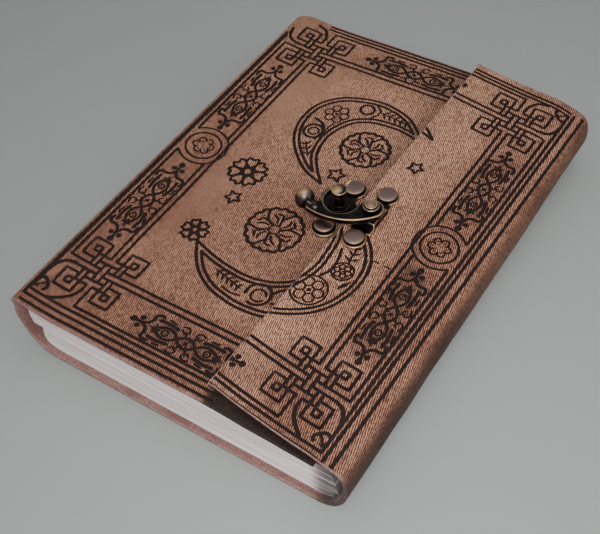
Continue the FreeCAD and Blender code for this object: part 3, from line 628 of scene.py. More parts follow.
class Hide:
    """One sheet of the hide between two ends, with grooves pressed in its outer face."""

    def __init__(self, first, last, low, high, strokes):
        # first and last: the run of that end as a function of y, and True at a join
        self.first, self.last, self.low, self.high = first, last, low, high
        self.strokes = strokes
        self.marks = {0: [], 1: []}

    def ends(self, y, inset):
        """Runs of both ends at a distance y from the tail; only free ends move in."""
        (first, first_joined), (last, last_joined) = self.first, self.last
        return (first(y) + (0 if first_joined else inset),
                last(y) - (0 if last_joined else inset))

    def room(self, p, inset):
        """Four distances of a point from the sides of the sheet: first, last, low, high."""
        first, last = self.ends(p[1], inset)
        return (p[0] - first, last - p[0], p[1] - self.low(p[0]) - inset,
                self.high(p[0]) - inset - p[1])

    def clipped(self, points, inset):
        """Parts of a line inside the sheet; where it runs out at an end is marked."""
        inside = [min(self.room(p, inset)) > 1e-4 for p in points]
        parts, current = [], []
        for k, p in enumerate(points):
            if k and inside[k] != inside[k - 1]:
                a, b = (points[k - 1], p) if inside[k - 1] else (p, points[k - 1])
                for _ in range(24):
                    middle = (a + b) / 2
                    if min(self.room(middle, inset)) > 1e-4:
                        a = middle
                    else:
                        b = middle
                side = int(np.argmin(self.room(b, inset)))
                if side < 2 and not (self.first, self.last)[side][1]:
                    self.marks[side].append(float(a[1]))
                    a = np.array([self.ends(a[1], inset)[side], a[1]])
                current.append(a)
                if not inside[k]:
                    parts.append(current)
                    current = []
            if inside[k]:
                current.append(p)
        if current:
            parts.append(current)
        return [np.array(part) for part in parts if len(part) > 1]

    def loop(self, inset, across, lengthways):
        """Points round the sheet at an inset: up the first end, along the high side, back."""
        (y0, y1), (y2, y3) = ((self.low(run) + inset, self.high(run) - inset)
                              for run in self.ends(COVER_LENGTH / 2, inset))
        out = []
        for y in y0 + (y1 - y0) * across[0]:
            out.append((self.ends(y, inset)[0], y))
        r0, r1 = self.ends(y1, inset)[0], self.ends(y3, inset)[1]
        for t in lengthways[1:-1]:
            run = r0 + (r1 - r0) * t
            out.append((run, self.high(run) - inset))
        for y in y3 + (y2 - y3) * across[1]:
            out.append((self.ends(y, inset)[1], y))
        r0, r1 = self.ends(y0, inset)[0], self.ends(y2, inset)[1]
        for t in lengthways[-2:0:-1]:
            run = r0 + (r1 - r0) * t
            out.append((run, self.low(run) + inset))
        return np.array(out)

    def filled(self, loop, inset, lines, spacing):
        """Triangles that fill a loop and follow the lines."""
        points = list(map(tuple, loop))
        edges = [(k, (k + 1) % len(loop)) for k in range(len(loop))]
        for part in lines:
            start = len(points)
            points += list(map(tuple, part))
            edges += [(start + k, start + k + 1) for k in range(len(part) - 1)]
        low, high = loop.min(0), loop.max(0)
        runs = bend_stops(low[0], high[0], spacing)
        rows = np.arange(low[1] + spacing, high[1], spacing)
        grid = np.stack(np.meshgrid(runs, rows), -1).reshape(-1, 2)
        grid = grid[np.array([min(self.room(p, inset)) > 0.6 for p in grid])]
        if self.strokes and lines:
            grid = grid[rim_distance(grid, self.strokes) > 0.55]
        points += list(map(tuple, grid))
        verts, _, faces, _, _, _ = geometry.delaunay_2d_cdt(
            [Vector(p) for p in points], edges, [], 0, 1e-4, False)
        verts = np.array([tuple(v) for v in verts])
        faces = np.array([f for f in faces if len(f) == 3])
        cx, cy = verts[faces].mean(1).T
        inside = np.zeros(len(cx), bool)
        for (x0, y0), (x1, y1) in zip(loop, np.roll(loop, -1, axis=0)):
            if y0 != y1:
                inside ^= ((y0 > cy) != (y1 > cy)) & (
                    cx < (x1 - x0) * (cy - y0) / (y1 - y0) + x0)
        faces = faces[inside]
        tree = kdtree.KDTree(len(verts))
        for k, v in enumerate(verts):
            tree.insert((v[0], v[1], 0), k)
        tree.balance()
        rim = [tree.find((p[0], p[1], 0))[1] for p in loop]
        used, faces = np.unique(faces, return_inverse=True)
        place = {int(old): new for new, old in enumerate(used)}
        return verts[used], faces.reshape(-1, 3), [place[k] for k in rim]

    def build(self, name, groove_depth):
        """The sheet as a piece: outer face, rounded rim and inner face."""
        lines = []
        for points, half in self.strokes:
            for part in beside(points, half):
                lines += self.clipped(part, RIM[0][0])
        r0, r1 = self.ends(COVER_LENGTH / 2, 0.0)
        across = []
        for run, marks in ((r0, self.marks[0]), (r1, self.marks[1])):
            y0, y1 = float(self.low(run)), float(self.high(run))
            t = list(np.linspace(0, 1, ceil((y1 - y0) / 2.0) + 1))
            e = RIM[0][0]
            t += [(m - y0 - e) / (y1 - y0 - 2 * e) for m in marks]
            t = np.array(sorted(v for v in t if 0 <= v <= 1))
            across.append(t[np.concatenate([[True], np.diff(t) > 1e-5])])
        stops = bend_stops(r0, r1, 2.0)
        lengthways = (stops - r0) / (r1 - r0)
        loops = [self.loop(e, across, lengthways) for e, _ in RIM]
        outer, outer_faces, outer_rim = self.filled(loops[0], RIM[0][0], lines, 2.0)
        inner, inner_faces, inner_rim = self.filled(loops[-1], RIM[-1][0], [], 3.0)
        # the outer face sinks to the grooves' floors and a little beside them
        gap = rim_distance(outer, self.strokes)
        pressed = 1 - eased(gap, -GROOVE_WALL, 0.02)
        flat, groove = [outer], [pressed]
        depth = [groove_depth * pressed + 0.07 * np.exp(-np.maximum(gap, 0) / 0.7)]
        rings = [np.array(outer_rim)]
        count = len(outer)
        for (_, down), loop, share in zip(RIM[1:-1], loops[1:-1], (1, 0.6, 0, 0)):
            pressed = 1 - eased(rim_distance(loop, self.strokes), -GROOVE_WALL, 0.02)
            flat.append(loop)
            depth.append(down + groove_depth * pressed * share)
            groove.append(pressed * share)
            rings.append(count + np.arange(len(loop)))
            count += len(loop)
        flat.append(inner)
        depth.append(np.full(len(inner), LEATHER))
        groove.append(np.zeros(len(inner)))
        rings.append(count + np.array(inner_rim))
        run, y = np.concatenate(flat).T
        verts = laid(run, y, np.concatenate(depth)).tolist()
        faces = [tuple(f[::-1]) for f in outer_faces]
        kinds = [0] * len(faces)
        for a, b in zip(rings, rings[1:]):
            n = len(a)
            for k in range(n):
                j = (k + 1) % n
                faces.append((a[j], a[k], b[k], b[j])[::-1])
                kinds.append(1)
        faces += [tuple(f + count) for f in inner_faces]
        kinds += [2] * len(inner_faces)
        faces = [tuple(int(i) for i in f) for f in faces]
        made = drawn_piece(name, verts, faces, "hide", np.stack([run, y], 1) * MM)
        made.data.polygons.foreach_set("material_index", kinds)
        set_shares(made, "groove", np.concatenate(groove))
        # shares of wear with painted light towards the head, and of real stains with painted shadow
        # and shade by the flap and on the wrap
        set_shares(made, "worn", rubbed(run, y))
        set_shares(made, "stain", stained_and_shaded(run, y))
        smoothed(made, 50.0)
        return made


def flat_end(run):
    """A straight end of a sheet, square to the path."""
    return lambda y: run + 0.0 * y


def worn_corner(run, radius):
    """How much the spine's worn corner takes off the hide's length at a run."""
    d = np.clip(along(run, 1) - SPINE_X, 0, radius)
    return radius - np.sqrt(np.maximum(radius * radius - (radius - d) ** 2, 0.0))


def plan_low(run):
    """Tail edge of the cover."""
    return worn_corner(run, SPINE_TAIL_ROUND)


def plan_high(run):
    """Head edge of the cover."""
    return COVER_LENGTH - worn_corner(run, SPINE_HEAD_ROUND)


def wrap_high(run):
    """Head edge that narrows from the cover to the wrap, on the toe's fold."""
    return COVER_LENGTH - 1.5 * eased(run, TOE, TOE_END)


def flap_low(run):
    """Tail edge of the wrap and of the flap, which has crept towards the head."""
    return np.where(run > BROW, creep(along(run, 1)), 0.0)


def flap_high(run):
    """Head edge of the wrap and flap."""
    return WRAP_LENGTH + flap_low(run)


# ---- helpers for pieces and materials --------------------------------------------------
def tint(code):
    """sRGB hex to linear red, green, blue and alpha."""
    parts = [int(code[k:k + 2], 16) / 255 for k in (1, 3, 5)]
    return [c / 12.92 if c <= 0.04045 else ((c + 0.055) / 1.055) ** 2.4 for c in parts] + [1]


def pick(*objects):
    """Leave only these objects selected, the first one active."""
    if bpy.context.mode != "OBJECT":
        bpy.ops.object.mode_set(mode="OBJECT")
    bpy.ops.object.select_all(action="DESELECT")
    for made in objects:
        made.select_set(True)
    bpy.context.view_layer.objects.active = objects[0]


def add_node(tree, kind, inputs=None, out=0, **settings):
    """Add one shader node with its settings, and values or links for its inputs, and give
    back the output that is asked for."""
    made = tree.nodes.new("ShaderNode" + kind)
    for name, value in settings.items():
        setattr(made, name, value)
    for name, value in (inputs or {}).items():
        if isinstance(value, bpy.types.NodeSocket):
            tree.links.new(value, made.inputs[name])
        else:
            made.inputs[name].default_value = value
    return made.outputs[out]


def new_material(name):
    """A material with an empty node tree, and the tree."""
    material = bpy.data.materials.new(name)
    material.use_nodes = True
    material.node_tree.nodes.clear()
    return material, material.node_tree


def finish_material(tree, shader):
    """Link the last shader to the material's output."""
    output = tree.nodes.new("ShaderNodeOutputMaterial")
    tree.links.new(shader, output.inputs[0])


def layered(tree, base, *layers):
    """Lay colours over a base, one after the other. Each (share, low, high, most, colour)
    begins where its share passes low, and from high on covers most of what is below."""
    for share, low, high, most, over in layers:
        cover = add_node(tree, "MapRange", {"Value": share, "From Min": low,
                                            "From Max": high, "To Max": most})
        base = add_node(tree, "Mix", {0: cover, 6: base, 7: over}, 2, data_type="RGBA")
    return base


def drawn_piece(name, verts, faces, layer_name, flat_places):
    """A new mesh piece, with flat places of its vertices for the materials."""
    mesh = bpy.data.meshes.new(name)
    mesh.from_pydata(verts, [], faces)
    corner = np.empty(len(mesh.loops), int)
    mesh.loops.foreach_get("vertex_index", corner)
    layer = mesh.uv_layers.new(name=layer_name)
    layer.data.foreach_set("uv", np.asarray(flat_places, np.float32)[corner].ravel())
    made = bpy.data.objects.new(name, mesh)
    bpy.context.scene.collection.objects.link(made)
    return made


def set_shares(made, name, values):
    """Give each vertex of a piece its share of wear and painted light, of stains and painted shade,
    or of pressing.
    """
    attribute = made.data.attributes.new(name, "FLOAT", "POINT")
    attribute.data.foreach_set("value", np.asarray(values, np.float32))


def merged(made, distance):
    """Join the vertices of a piece that lie within a distance."""
    pick(made)
    bpy.ops.object.mode_set(mode="EDIT")
    bpy.ops.mesh.select_all(action="SELECT")
    bpy.ops.mesh.remove_doubles(threshold=distance)
    bpy.ops.object.mode_set(mode="OBJECT")


def smoothed(made, angle):
    """Turn a piece's faces outwards and shade it smooth up to an angle in degrees."""
    pick(made)
    bpy.ops.object.mode_set(mode="EDIT")
    bpy.ops.mesh.select_all(action="SELECT")
    bpy.ops.mesh.normals_make_consistent(inside=False)
    bpy.ops.object.mode_set(mode="OBJECT")
    bpy.ops.object.shade_smooth_by_angle(angle=radians(angle))


def reshaped(made, name, kind, **settings):
    """Apply one modifier to a piece."""
    modifier = made.modifiers.new(name, kind)
    for key, value in settings.items():
        setattr(modifier, key, value)
    bpy.ops.object.modifier_apply(modifier=modifier.name)


def complete(made, body, materials, nodes=()):
    """Give a finished piece its materials, body and the CAD nodes it stands for."""
    if made.data.materials:
        made.data.materials.clear()
    for material in materials:
        made.data.materials.append(material)
    if nodes:
        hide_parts(*nodes)
    if body:
        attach(made, body)


# ---- materials ---------------------------------------------------------------------------
# sizes of their patterns: pores, fibres, nap and grit are finer on the real things, and
# are drawn this coarse so that they show
PEBBLE_WIDTH, PEBBLE_LENGTH = 0.68 * MM, 1.1 * MM      # the leather's grain
PORE, WRINKLE, CLOUD = 1.111 * MM, 6.25 * MM, 23.81 * MM
FIBRE, BLOTCH = 1.111 * MM, 8.333 * MM                 # of the cut edge
NAP, BRUSHED = 0.909 * MM, 16.67 * MM                  # of the flesh side
SEAM, SEAM_LENGTH = 0.1923 * MM, 55.56 * MM            # between leaves
BAND_WIDTH, BAND_LENGTH = 1.111 * MM, 111.1 * MM       # leaves that lie back in shade
GRIT, PATCH = 0.625 * MM, 3.846 * MM                   # of the brass
TWIST = 0.748 * MM                                     # one ply of the thread
MOTTLE = 16.67 * MM                                    # left by a paint roller


def stamped_leather(look):
    """Vegetable-tanned cowhide, blind stamped and antiqued: the dark wax stays in the
    grooves and the pores, and the rubbed high places turn lighter and a little glossier."""
    material, tree = new_material("stamped_vegetable_tanned_leather")
    uv = add_node(tree, "UVMap", uv_map="hide")
    groove, worn, stain = (add_node(tree, "Attribute", out="Fac", attribute_name=name)
                           for name in ("groove", "worn", "stain"))
    # rows of pebbles run along the spine, 14 degrees askew; a wave's period is pi / 10 of
    # its own units
    askew = add_node(tree, "Mapping", {"Vector": uv, "Rotation": (0, 0, radians(14))})
    ribs = add_node(tree, "TexWave", {"Vector": askew, "Scale": pi / 10 / PEBBLE_WIDTH,
                                      "Distortion": 2.9, "Detail": 2.0,
                                      "Detail Scale": 1.3}, 1)
    cells = add_node(tree, "Mapping", {
        "Vector": askew, "Scale": (1 / PEBBLE_WIDTH, 1 / PEBBLE_LENGTH, 1.0)})
    domes = add_node(tree, "TexVoronoi", {"Vector": cells, "Scale": 1.0,
                                          "Randomness": 1.0}, "Distance")
    domes = add_node(tree, "MapRange", {"Value": domes, "From Min": 0.75, "From Max": 0.1})
    pores, creases, clouds = (
        add_node(tree, "TexNoise", {"Vector": uv, "Scale": scale, "Detail": detail,
                                    "Roughness": rough, "Distortion": bent})
        for scale, detail, rough, bent in ((1 / PORE, 3.0, 0.65, 0.0), (1 / WRINKLE, 5.0, 0.6, 0.6),
                                           (1 / CLOUD, 5.0, 0.6, 0.0)))
    grain = 0.0
    for height, share in ((ribs, 0.48), (domes, 0.34), (pores, 0.25)):
        grain = add_node(tree, "Math", {0: height, 1: share, 2: grain},
                         operation="MULTIPLY_ADD")
    # tone: dark red-brown by the borders, tan where the middle was rubbed, and lighter towards the
    # head as painted light
    cloud = add_node(tree, "MapRange", {"Value": clouds, "From Min": 0.3, "From Max": 0.7,
                                        "To Min": -0.2, "To Max": 0.2})
    tone = add_node(tree, "Math", {0: worn, 1: cloud}, operation="ADD", use_clamp=True)
    hollows = layered(tree, look.leather_pore, (tone, 0.0, 1.0, 1.0, look.leather_dark))
    tops = layered(tree, look.leather_mid, (tone, 0.0, 1.0, 1.0, look.leather_light))
    wax = layered(tree, look.groove_wax_and_shade, (creases, 0.0, 1.0, 1.0, look.leather_pore))
    # the dark share lays near black over real stains and over painted shadow and shade by the flap
    # and on the wrap's wall
    base = layered(tree, hollows, (grain, 0.38, 0.7, 1.0, tops),
                   (creases, 0.58, 0.78, 0.25, look.leather_pore),
                   (stain, 0.0, 1.0, 1.0, look.groove_wax_and_shade), (groove, 0.02, 0.55, 1.0, wax))
    rough = add_node(tree, "MapRange", {"Value": grain, "From Min": 0.5, "From Max": 1.0,
                                        "To Min": 0.68, "To Max": 0.5})
    clear = add_node(tree, "Math", {0: groove, 1: -0.85, 2: 1.0}, operation="MULTIPLY_ADD")
    relief = add_node(tree, "Math", {0: grain, 1: clear}, operation="MULTIPLY")
    bump = add_node(tree, "Bump", {"Height": relief, "Strength": 0.7, "Distance": 0.0003})
    wrinkle = add_node(tree, "Bump", {"Height": creases, "Strength": 0.35,
                                      "Distance": 0.0008, "Normal": bump})
    shader = add_node(tree, "BsdfPrincipled", {"Base Color": base, "Roughness": rough,
                                               "Specular IOR Level": 0.35,
                                               "Normal": wrinkle})
    finish_material(tree, shader)
    return material


def cut_leather(look):
    """Cut edge of the hide: raw fibres take a blotchy pinkish brown and stay dull."""
    material, tree = new_material("raw_cut_leather_edge")
    place = add_node(tree, "TexCoord", out="Object")
    fibres = add_node(tree, "TexNoise", {"Vector": place, "Scale": 1 / FIBRE,
                                         "Detail": 4.0, "Roughness": 0.7})
    blotches = add_node(tree, "TexNoise", {"Vector": place, "Scale": 1 / BLOTCH,
                                           "Detail": 3.0})
    stain = add_node(tree, "Attribute", out="Fac", attribute_name="stain")
    # the dark share lays near black over the cut edge, also as painted shadow by the flap
    base = layered(tree, look.edge_dark, (fibres, 0.35, 0.68, 1.0, look.edge_light),
                   (blotches, 0.45, 0.7, 0.6, look.edge_dark),
                   (stain, 0.0, 1.0, 1.0, look.groove_wax_and_shade))
    bump = add_node(tree, "Bump", {"Height": fibres, "Strength": 0.6, "Distance": 0.0003})
    shader = add_node(tree, "BsdfPrincipled", {"Base Color": base, "Roughness": 0.85,
                                               "Normal": bump})
    finish_material(tree, shader)
    return material


def suede(look):
    """Flesh side of the hide: short raised fibres, matt, with a faint bloom at the rim."""
    material, tree = new_material("suede_flesh_side")
    uv = add_node(tree, "UVMap", uv_map="hide")
    nap = add_node(tree, "TexNoise", {"Vector": uv, "Scale": 1 / NAP, "Detail": 4.0,
                                      "Roughness": 0.7})
    strokes = add_node(tree, "TexNoise", {"Vector": uv, "Scale": 1 / BRUSHED,
                                          "Detail": 4.0, "Distortion": 0.8})
    stain = add_node(tree, "Attribute", out="Fac", attribute_name="stain")
    # the dark share lays near black over the flesh side, also as painted shadow by the flap
    base = layered(tree, look.suede_dark, (nap, 0.36, 0.6, 1.0, look.suede_light),
                   (strokes, 0.42, 0.66, 0.7, look.suede_dark),
                   (stain, 0.0, 1.0, 1.0, look.groove_wax_and_shade))
    bump = add_node(tree, "Bump", {"Height": nap, "Strength": 0.5, "Distance": 0.0003})
    shader = add_node(tree, "BsdfPrincipled", {"Base Color": base, "Roughness": 0.95,
                                               "Sheen Weight": 0.25,
                                               "Sheen Roughness": 0.5, "Normal": bump})
    finish_material(tree, shader)
    return material


def cotton_paper(look):
    """Handmade cotton paper, cut with a blade: pale leaf edges with fine darker seams,
    and painted shade that greys the fore edge deep under the wrap and the top leaves beside it."""
    material, tree = new_material("cut_cotton_paper")
    uv = add_node(tree, "UVMap", uv_map="leaves")
    fine = add_node(tree, "Mapping", {"Vector": uv,
                                      "Scale": (1 / SEAM_LENGTH, 1 / SEAM, 1.0)})
    seams = add_node(tree, "TexNoise", {"Vector": fine, "Scale": 1.0, "Detail": 2.0,
                                        "Roughness": 0.5})
    broad = add_node(tree, "Mapping", {"Vector": uv,
                                       "Scale": (1 / BAND_LENGTH, 1 / BAND_WIDTH, 1.0)})
    bands = add_node(tree, "TexNoise", {"Vector": broad, "Scale": 1.0, "Detail": 2.0})
    # painted shade: this share greys the leaves' seams where the fore edge lies deep under the wrap
    soil = add_node(tree, "Attribute", out="Fac", attribute_name="soil")
    fringe = add_node(tree, "Math", {0: soil, 1: seams}, operation="MULTIPLY")
    base = layered(tree, look.paper_seam, (seams, 0.38, 0.62, 1.0, look.paper),
                   (bands, 0.5, 0.72, 0.35, look.paper_seam),
                   (fringe, 0.08, 0.42, 0.92, look.paper_shade))
    bump = add_node(tree, "Bump", {"Height": seams, "Strength": 0.2, "Distance": 0.0002})
    shader = add_node(tree, "BsdfPrincipled", {"Base Color": base, "Roughness": 0.9,
                                               "Normal": bump})
    finish_material(tree, shader)
    return material


def antique_brass(look):
    """Cast brass, blackened, waxed and rubbed back: a near black skin that shines a
    little, grey-brown where fingers rub it, and golden on rubbed edges and on rubbed
    spots, which also paint a highlight on the tops of the knob and the hook's head."""
    material, tree = new_material("antiqued_cast_brass")
    place = add_node(tree, "TexCoord", out="Object")
    worn = add_node(tree, "Attribute", out="Fac", attribute_name="worn")
    sand = add_node(tree, "TexNoise", {"Vector": place, "Scale": 1 / GRIT, "Detail": 4.0,
                                       "Roughness": 0.65})
    patches = add_node(tree, "TexNoise", {"Vector": place, "Scale": 1 / PATCH,
                                          "Detail": 4.0})
    uneven = add_node(tree, "Math", {0: patches, 1: 0.5, 2: -0.25},
                      operation="MULTIPLY_ADD")
    rub = add_node(tree, "Math", {0: worn, 1: uneven}, operation="ADD")
    # rub: edge wear, and spots rubbed bright that also paint a highlight on the tops of the knob
    # and the hook's head
    base = layered(tree, look.brass_dark, (patches, 0.42, 0.66, 1.0, look.brass_brown),
                   (rub, 0.12, 0.42, 1.0, look.brass_handled),
                   (rub, 0.5, 0.9, 1.0, look.brass_bright))
    rough = add_node(tree, "MapRange", {"Value": sand, "From Min": 0.3, "From Max": 0.7,
                                        "To Min": 0.3, "To Max": 0.48})
    bump = add_node(tree, "Bump", {"Height": sand, "Strength": 0.3, "Distance": 0.00015})
    shader = add_node(tree, "BsdfPrincipled", {"Base Color": base, "Metallic": 1.0,
                                               "Roughness": rough, "Coat Weight": 0.3,
                                               "Coat Roughness": 0.28, "Normal": bump})
    finish_material(tree, shader)
    return material


def waxed_thread(look):
    """Waxed linen thread: two twisted plies, a dull wax shine."""
    material, tree = new_material("waxed_linen_thread")
    place = add_node(tree, "TexCoord", out="Object")
    twist = add_node(tree, "TexWave", {"Vector": place, "Scale": pi / 10 / TWIST,
                                       "Distortion": 1.5}, 1, bands_direction="DIAGONAL")
    base = layered(tree, look.thread_dark, (twist, 0.0, 1.0, 1.0, look.thread))
    bump = add_node(tree, "Bump", {"Height": twist, "Strength": 0.7, "Distance": 0.0002})
    shader = add_node(tree, "BsdfPrincipled", {"Base Color": base, "Roughness": 0.6,
                                               "Normal": bump})
    finish_material(tree, shader)
    return material


def painted_floor(look):
    """Matt painted studio floor: pale grey with the faint mottle of a roller."""
    material, tree = new_material("matt_painted_floor")
    place = add_node(tree, "TexCoord", out="Object")
    mottle = add_node(tree, "TexNoise", {"Vector": place, "Scale": 1 / MOTTLE, "Detail": 3.0})
    lighter = [min(1.0, c * 1.03) for c in look.floor]
    base = layered(tree, look.floor, (mottle, 0.0, 1.0, 1.0, lighter))
    shader = add_node(tree, "BsdfPrincipled", {"Base Color": base, "Roughness": 0.85})
    finish_material(tree, shader)
    return material


# ---- sizes and colours that a user may change --------------------------------------------
def colour(name, description, code):
    """A colour setting, from an sRGB code."""
    return bpy.props.FloatVectorProperty(name=name, description=description,
                                         default=tint(code), subtype="COLOR",
                                         size=4, min=0.0, max=1.0)


def size(name, description, millimetres, low, high):
    """A length setting, from millimetres."""
    return bpy.props.FloatProperty(name=name, description=description,
                                   default=millimetres * MM, min=low * MM, max=high * MM,
                                   subtype="DISTANCE", unit="LENGTH", precision=5)


class DiaryColours(bpy.types.PropertyGroup):
    """Colours of the materials"""
    leather_dark: colour("Dark leather", "Stained parts of the hide", "#673a2b")
    leather_mid: colour("Tan leather", "Most of the hide", "#9a614a")
    leather_light: colour("Rubbed leather", "High places that were rubbed", "#ebb897")
    leather_pore: colour("Leather pores", "Dark wax in the grain", "#2c1512")
    # also the near black of the painted shadow and shade by the flap and on the wrap's wall
    groove_wax_and_shade: colour("Groove wax", "Dark wax in the stamped lines", "#0c0606")
    edge_dark: colour("Dark cut edge", "Stained fibres of a cut edge", "#7b5751")
    edge_light: colour("Pale cut edge", "Clean fibres of a cut edge", "#b39088")
    suede_dark: colour("Dark suede", "Shaded nap of the flesh side", "#6f4b45")
    suede_light: colour("Pale suede", "Raised nap of the flesh side", "#a68079")
    paper: colour("Paper", "Leaves of the book", "#f6ecea")
    paper_seam: colour("Paper seams", "Shade between the leaves", "#c3b2b0")
    # painted shade: the grey of the fore edge deep under the wrap
    paper_shade: colour("Handled paper", "Grey where the fore edge was handled", "#2a2523")
    brass_dark: colour("Dark brass", "Blackened skin of the brass", "#0e0c0b")
    brass_brown: colour("Brown brass", "Thin skin over the brass", "#2a211b")
    brass_handled: colour("Handled brass", "Skin rubbed thin by fingers", "#8e7672")
    brass_bright: colour("Bright brass", "Brass rubbed bare", "#d6b27c")
    thread: colour("Thread", "Sewing thread", "#8f6b4c")
    thread_dark: colour("Thread hollows", "Between the thread's plies", "#4a3324")
    floor: colour("Floor", "Studio floor", "#a1a6a4")


class DiarySizes(bpy.types.PropertyGroup):
    """Sizes of what is made here, and the camera's lens"""
    groove_depth: size("Groove depth", "Depth of the stamped lines", 0.5, 0.05, 0.8)
    leaf_thickness: size("Leaf thickness", "One leaf of the book", 0.19, 0.1, 0.5)
    thread_width: size("Thread", "Width of the sewing thread", 0.9, 0.4, 1.5)
    cast_grid: size("Cast grid", "Face size of the clasp's castings", 0.2, 0.1, 0.5)
    lens: bpy.props.FloatProperty(name="Lens", description="Focal length of the camera",
                                  default=61.8, min=20.0, max=200.0, unit="CAMERA")


def looks():
    """The colours in use."""
    return bpy.context.scene.diary_colours


def sizes():
    """The sizes in use."""
    return bpy.context.scene.diary_sizes


# ---- pieces --------------------------------------------------------------------------------
def edge_wear(made):
    """Shares of wear by curvature: handling rubs a metal piece's convex edges bright."""
    shape = bmesh.new()
    shape.from_mesh(made.data)
    values = [sum(edge.calc_face_angle_signed(0.0) for edge in vert.link_edges)
              for vert in shape.verts]
    for _ in range(2):
        values = [(values[vert.index] + sum(values[edge.other_vert(vert).index]
                                            for edge in vert.link_edges))
                  / (1 + len(vert.link_edges)) for vert in shape.verts]
    shape.free()
    return np.clip(values, 0, 1).astype(np.float32)


def cast_copy(node_name, new_name, grid, rounds, lumps=(), bright_spots=(), sheltered=()):
    """A copy of a CAD node with round lumps (x, y, z, radii) grown into it, small even
    faces and soft edges as a casting has. Bright spots (x, y, z, reach) are rubbed bright,
    as wear and as a painted highlight, and what lies below z within reach of a sheltered
    spot stays dark."""
    made = bpy.data.objects.new(new_name, bpy.data.objects[node_name].data.copy())
    bpy.context.scene.collection.objects.link(made)
    parts = [made]
    for x, y, z, radii in lumps:
        bpy.ops.object.select_all(action="DESELECT")
        bpy.ops.mesh.primitive_uv_sphere_add(segments=40, ring_count=24, radius=MM,
                                             location=spot(x, y, z))
        bpy.context.object.scale = radii
        parts.append(bpy.context.object)
    pick(*parts)
    if lumps:
        bpy.ops.object.join()
    merged(made, 0.002 * MM)
    reshaped(made, "even_faces", "REMESH", mode="VOXEL", voxel_size=grid)
    reshaped(made, "softened_edges", "SMOOTH", factor=0.5, iterations=rounds)
    bpy.ops.object.shade_smooth()
    values = edge_wear(made)
    spots = np.empty(3 * len(values), np.float32)
    made.data.vertices.foreach_get("co", spots)
    # rubbed bright: wear, and a painted highlight on the tops of the knob and the hook's head
    for x, y, z, reach in bright_spots:
        away = np.linalg.norm(spots.reshape(-1, 3) - spot(x, y, z), axis=1) / MM
        values = np.maximum(values, 0.95 * (1 - eased(away, reach * 0.3, reach)))
    for x, y, z, reach in sheltered:
        px, py, pz = spot(x, y, z)
        away = np.hypot(spots[0::3] - px, spots[1::3] - py) / MM
        kept = np.maximum(eased(away, reach - 0.6, reach + 0.4), spots[2::3] > pz)
        values = values * (0.15 + 0.85 * kept)
    set_shares(made, "worn", values)
    return made


TURNED_SIDES = 48


def turned_piece(name, x, y, profile):
    """A turned part: a disc extruded and resized up a profile of (radius, height, wear)."""
    radius, height, _ = profile[0]
    px, py, pz = spot(x, y, height)
    bpy.ops.object.select_all(action="DESELECT")
    bpy.ops.mesh.primitive_circle_add(vertices=TURNED_SIDES, radius=radius * MM,
                                      fill_type="NGON", location=(px, py, pz))
    made = bpy.context.object
    made.name = made.data.name = name
    bpy.ops.object.transform_apply(location=True, rotation=True, scale=True)
    bpy.ops.object.mode_set(mode="EDIT")
    bpy.ops.mesh.select_all(action="SELECT")
    for new_radius, new_height, _ in profile[1:]:
        bpy.ops.mesh.extrude_region_move(
            TRANSFORM_OT_translate={"value": (0, 0, (new_height - height) * MM)})
        if abs(new_radius - radius) > 1e-6:
            k = new_radius / radius
            bpy.ops.transform.resize(value=(k, k, 1),
                                     center_override=(px, py, new_height * MM))
        radius, height = new_radius, new_height
    smoothed(made, 35.0)
    values = []
    for vert in made.data.vertices:
        at = np.hypot(vert.co.x - px, vert.co.y - py) / MM, vert.co.z / MM
        values.append(min(profile, key=lambda row: abs(row[0] - at[0])
                          + abs(row[1] - at[1]))[2])
    set_shares(made, "worn", values)
    return made


STAIN_SPOTS = ((108.0, 75.5, 4.0, 0.6), (113.0, 73.0, 3.0, 0.6), (119.0, 72.0, 3.0, 0.5),
               (105.0, 77.0, 2.4, 0.45))       # X, Y, reach and share


def rubbed(run, y):
    """Rubbed share of the hide: most in the middle and by the flap's edge; its rise towards the
    head is painted light.
    """
    x = along(run, 1)
    x0, x1, y0, y1 = FIELD
    inside = np.minimum(np.minimum(x - x0, x1 - x), np.minimum(y - y0, y1 - y))
    # the rise towards the head is painted light
    top = 0.3 + 0.2 * eased(inside, -1.5, 4.0) + 0.36 * eased(y, 55.0, 170.0)
    top += np.where(run > FLAT, 0.4 * (1 - eased(x - flap_edge(y), 2.0, 28.0)), 0.0)
    on_top = (run < SPINE_TOP) | (run > BROW)
    low = 0.15 + 0.35 * eased(run, SHOULDER, BROW)
    return np.where(on_top, top, np.where(run > TOE, low, 0.25))


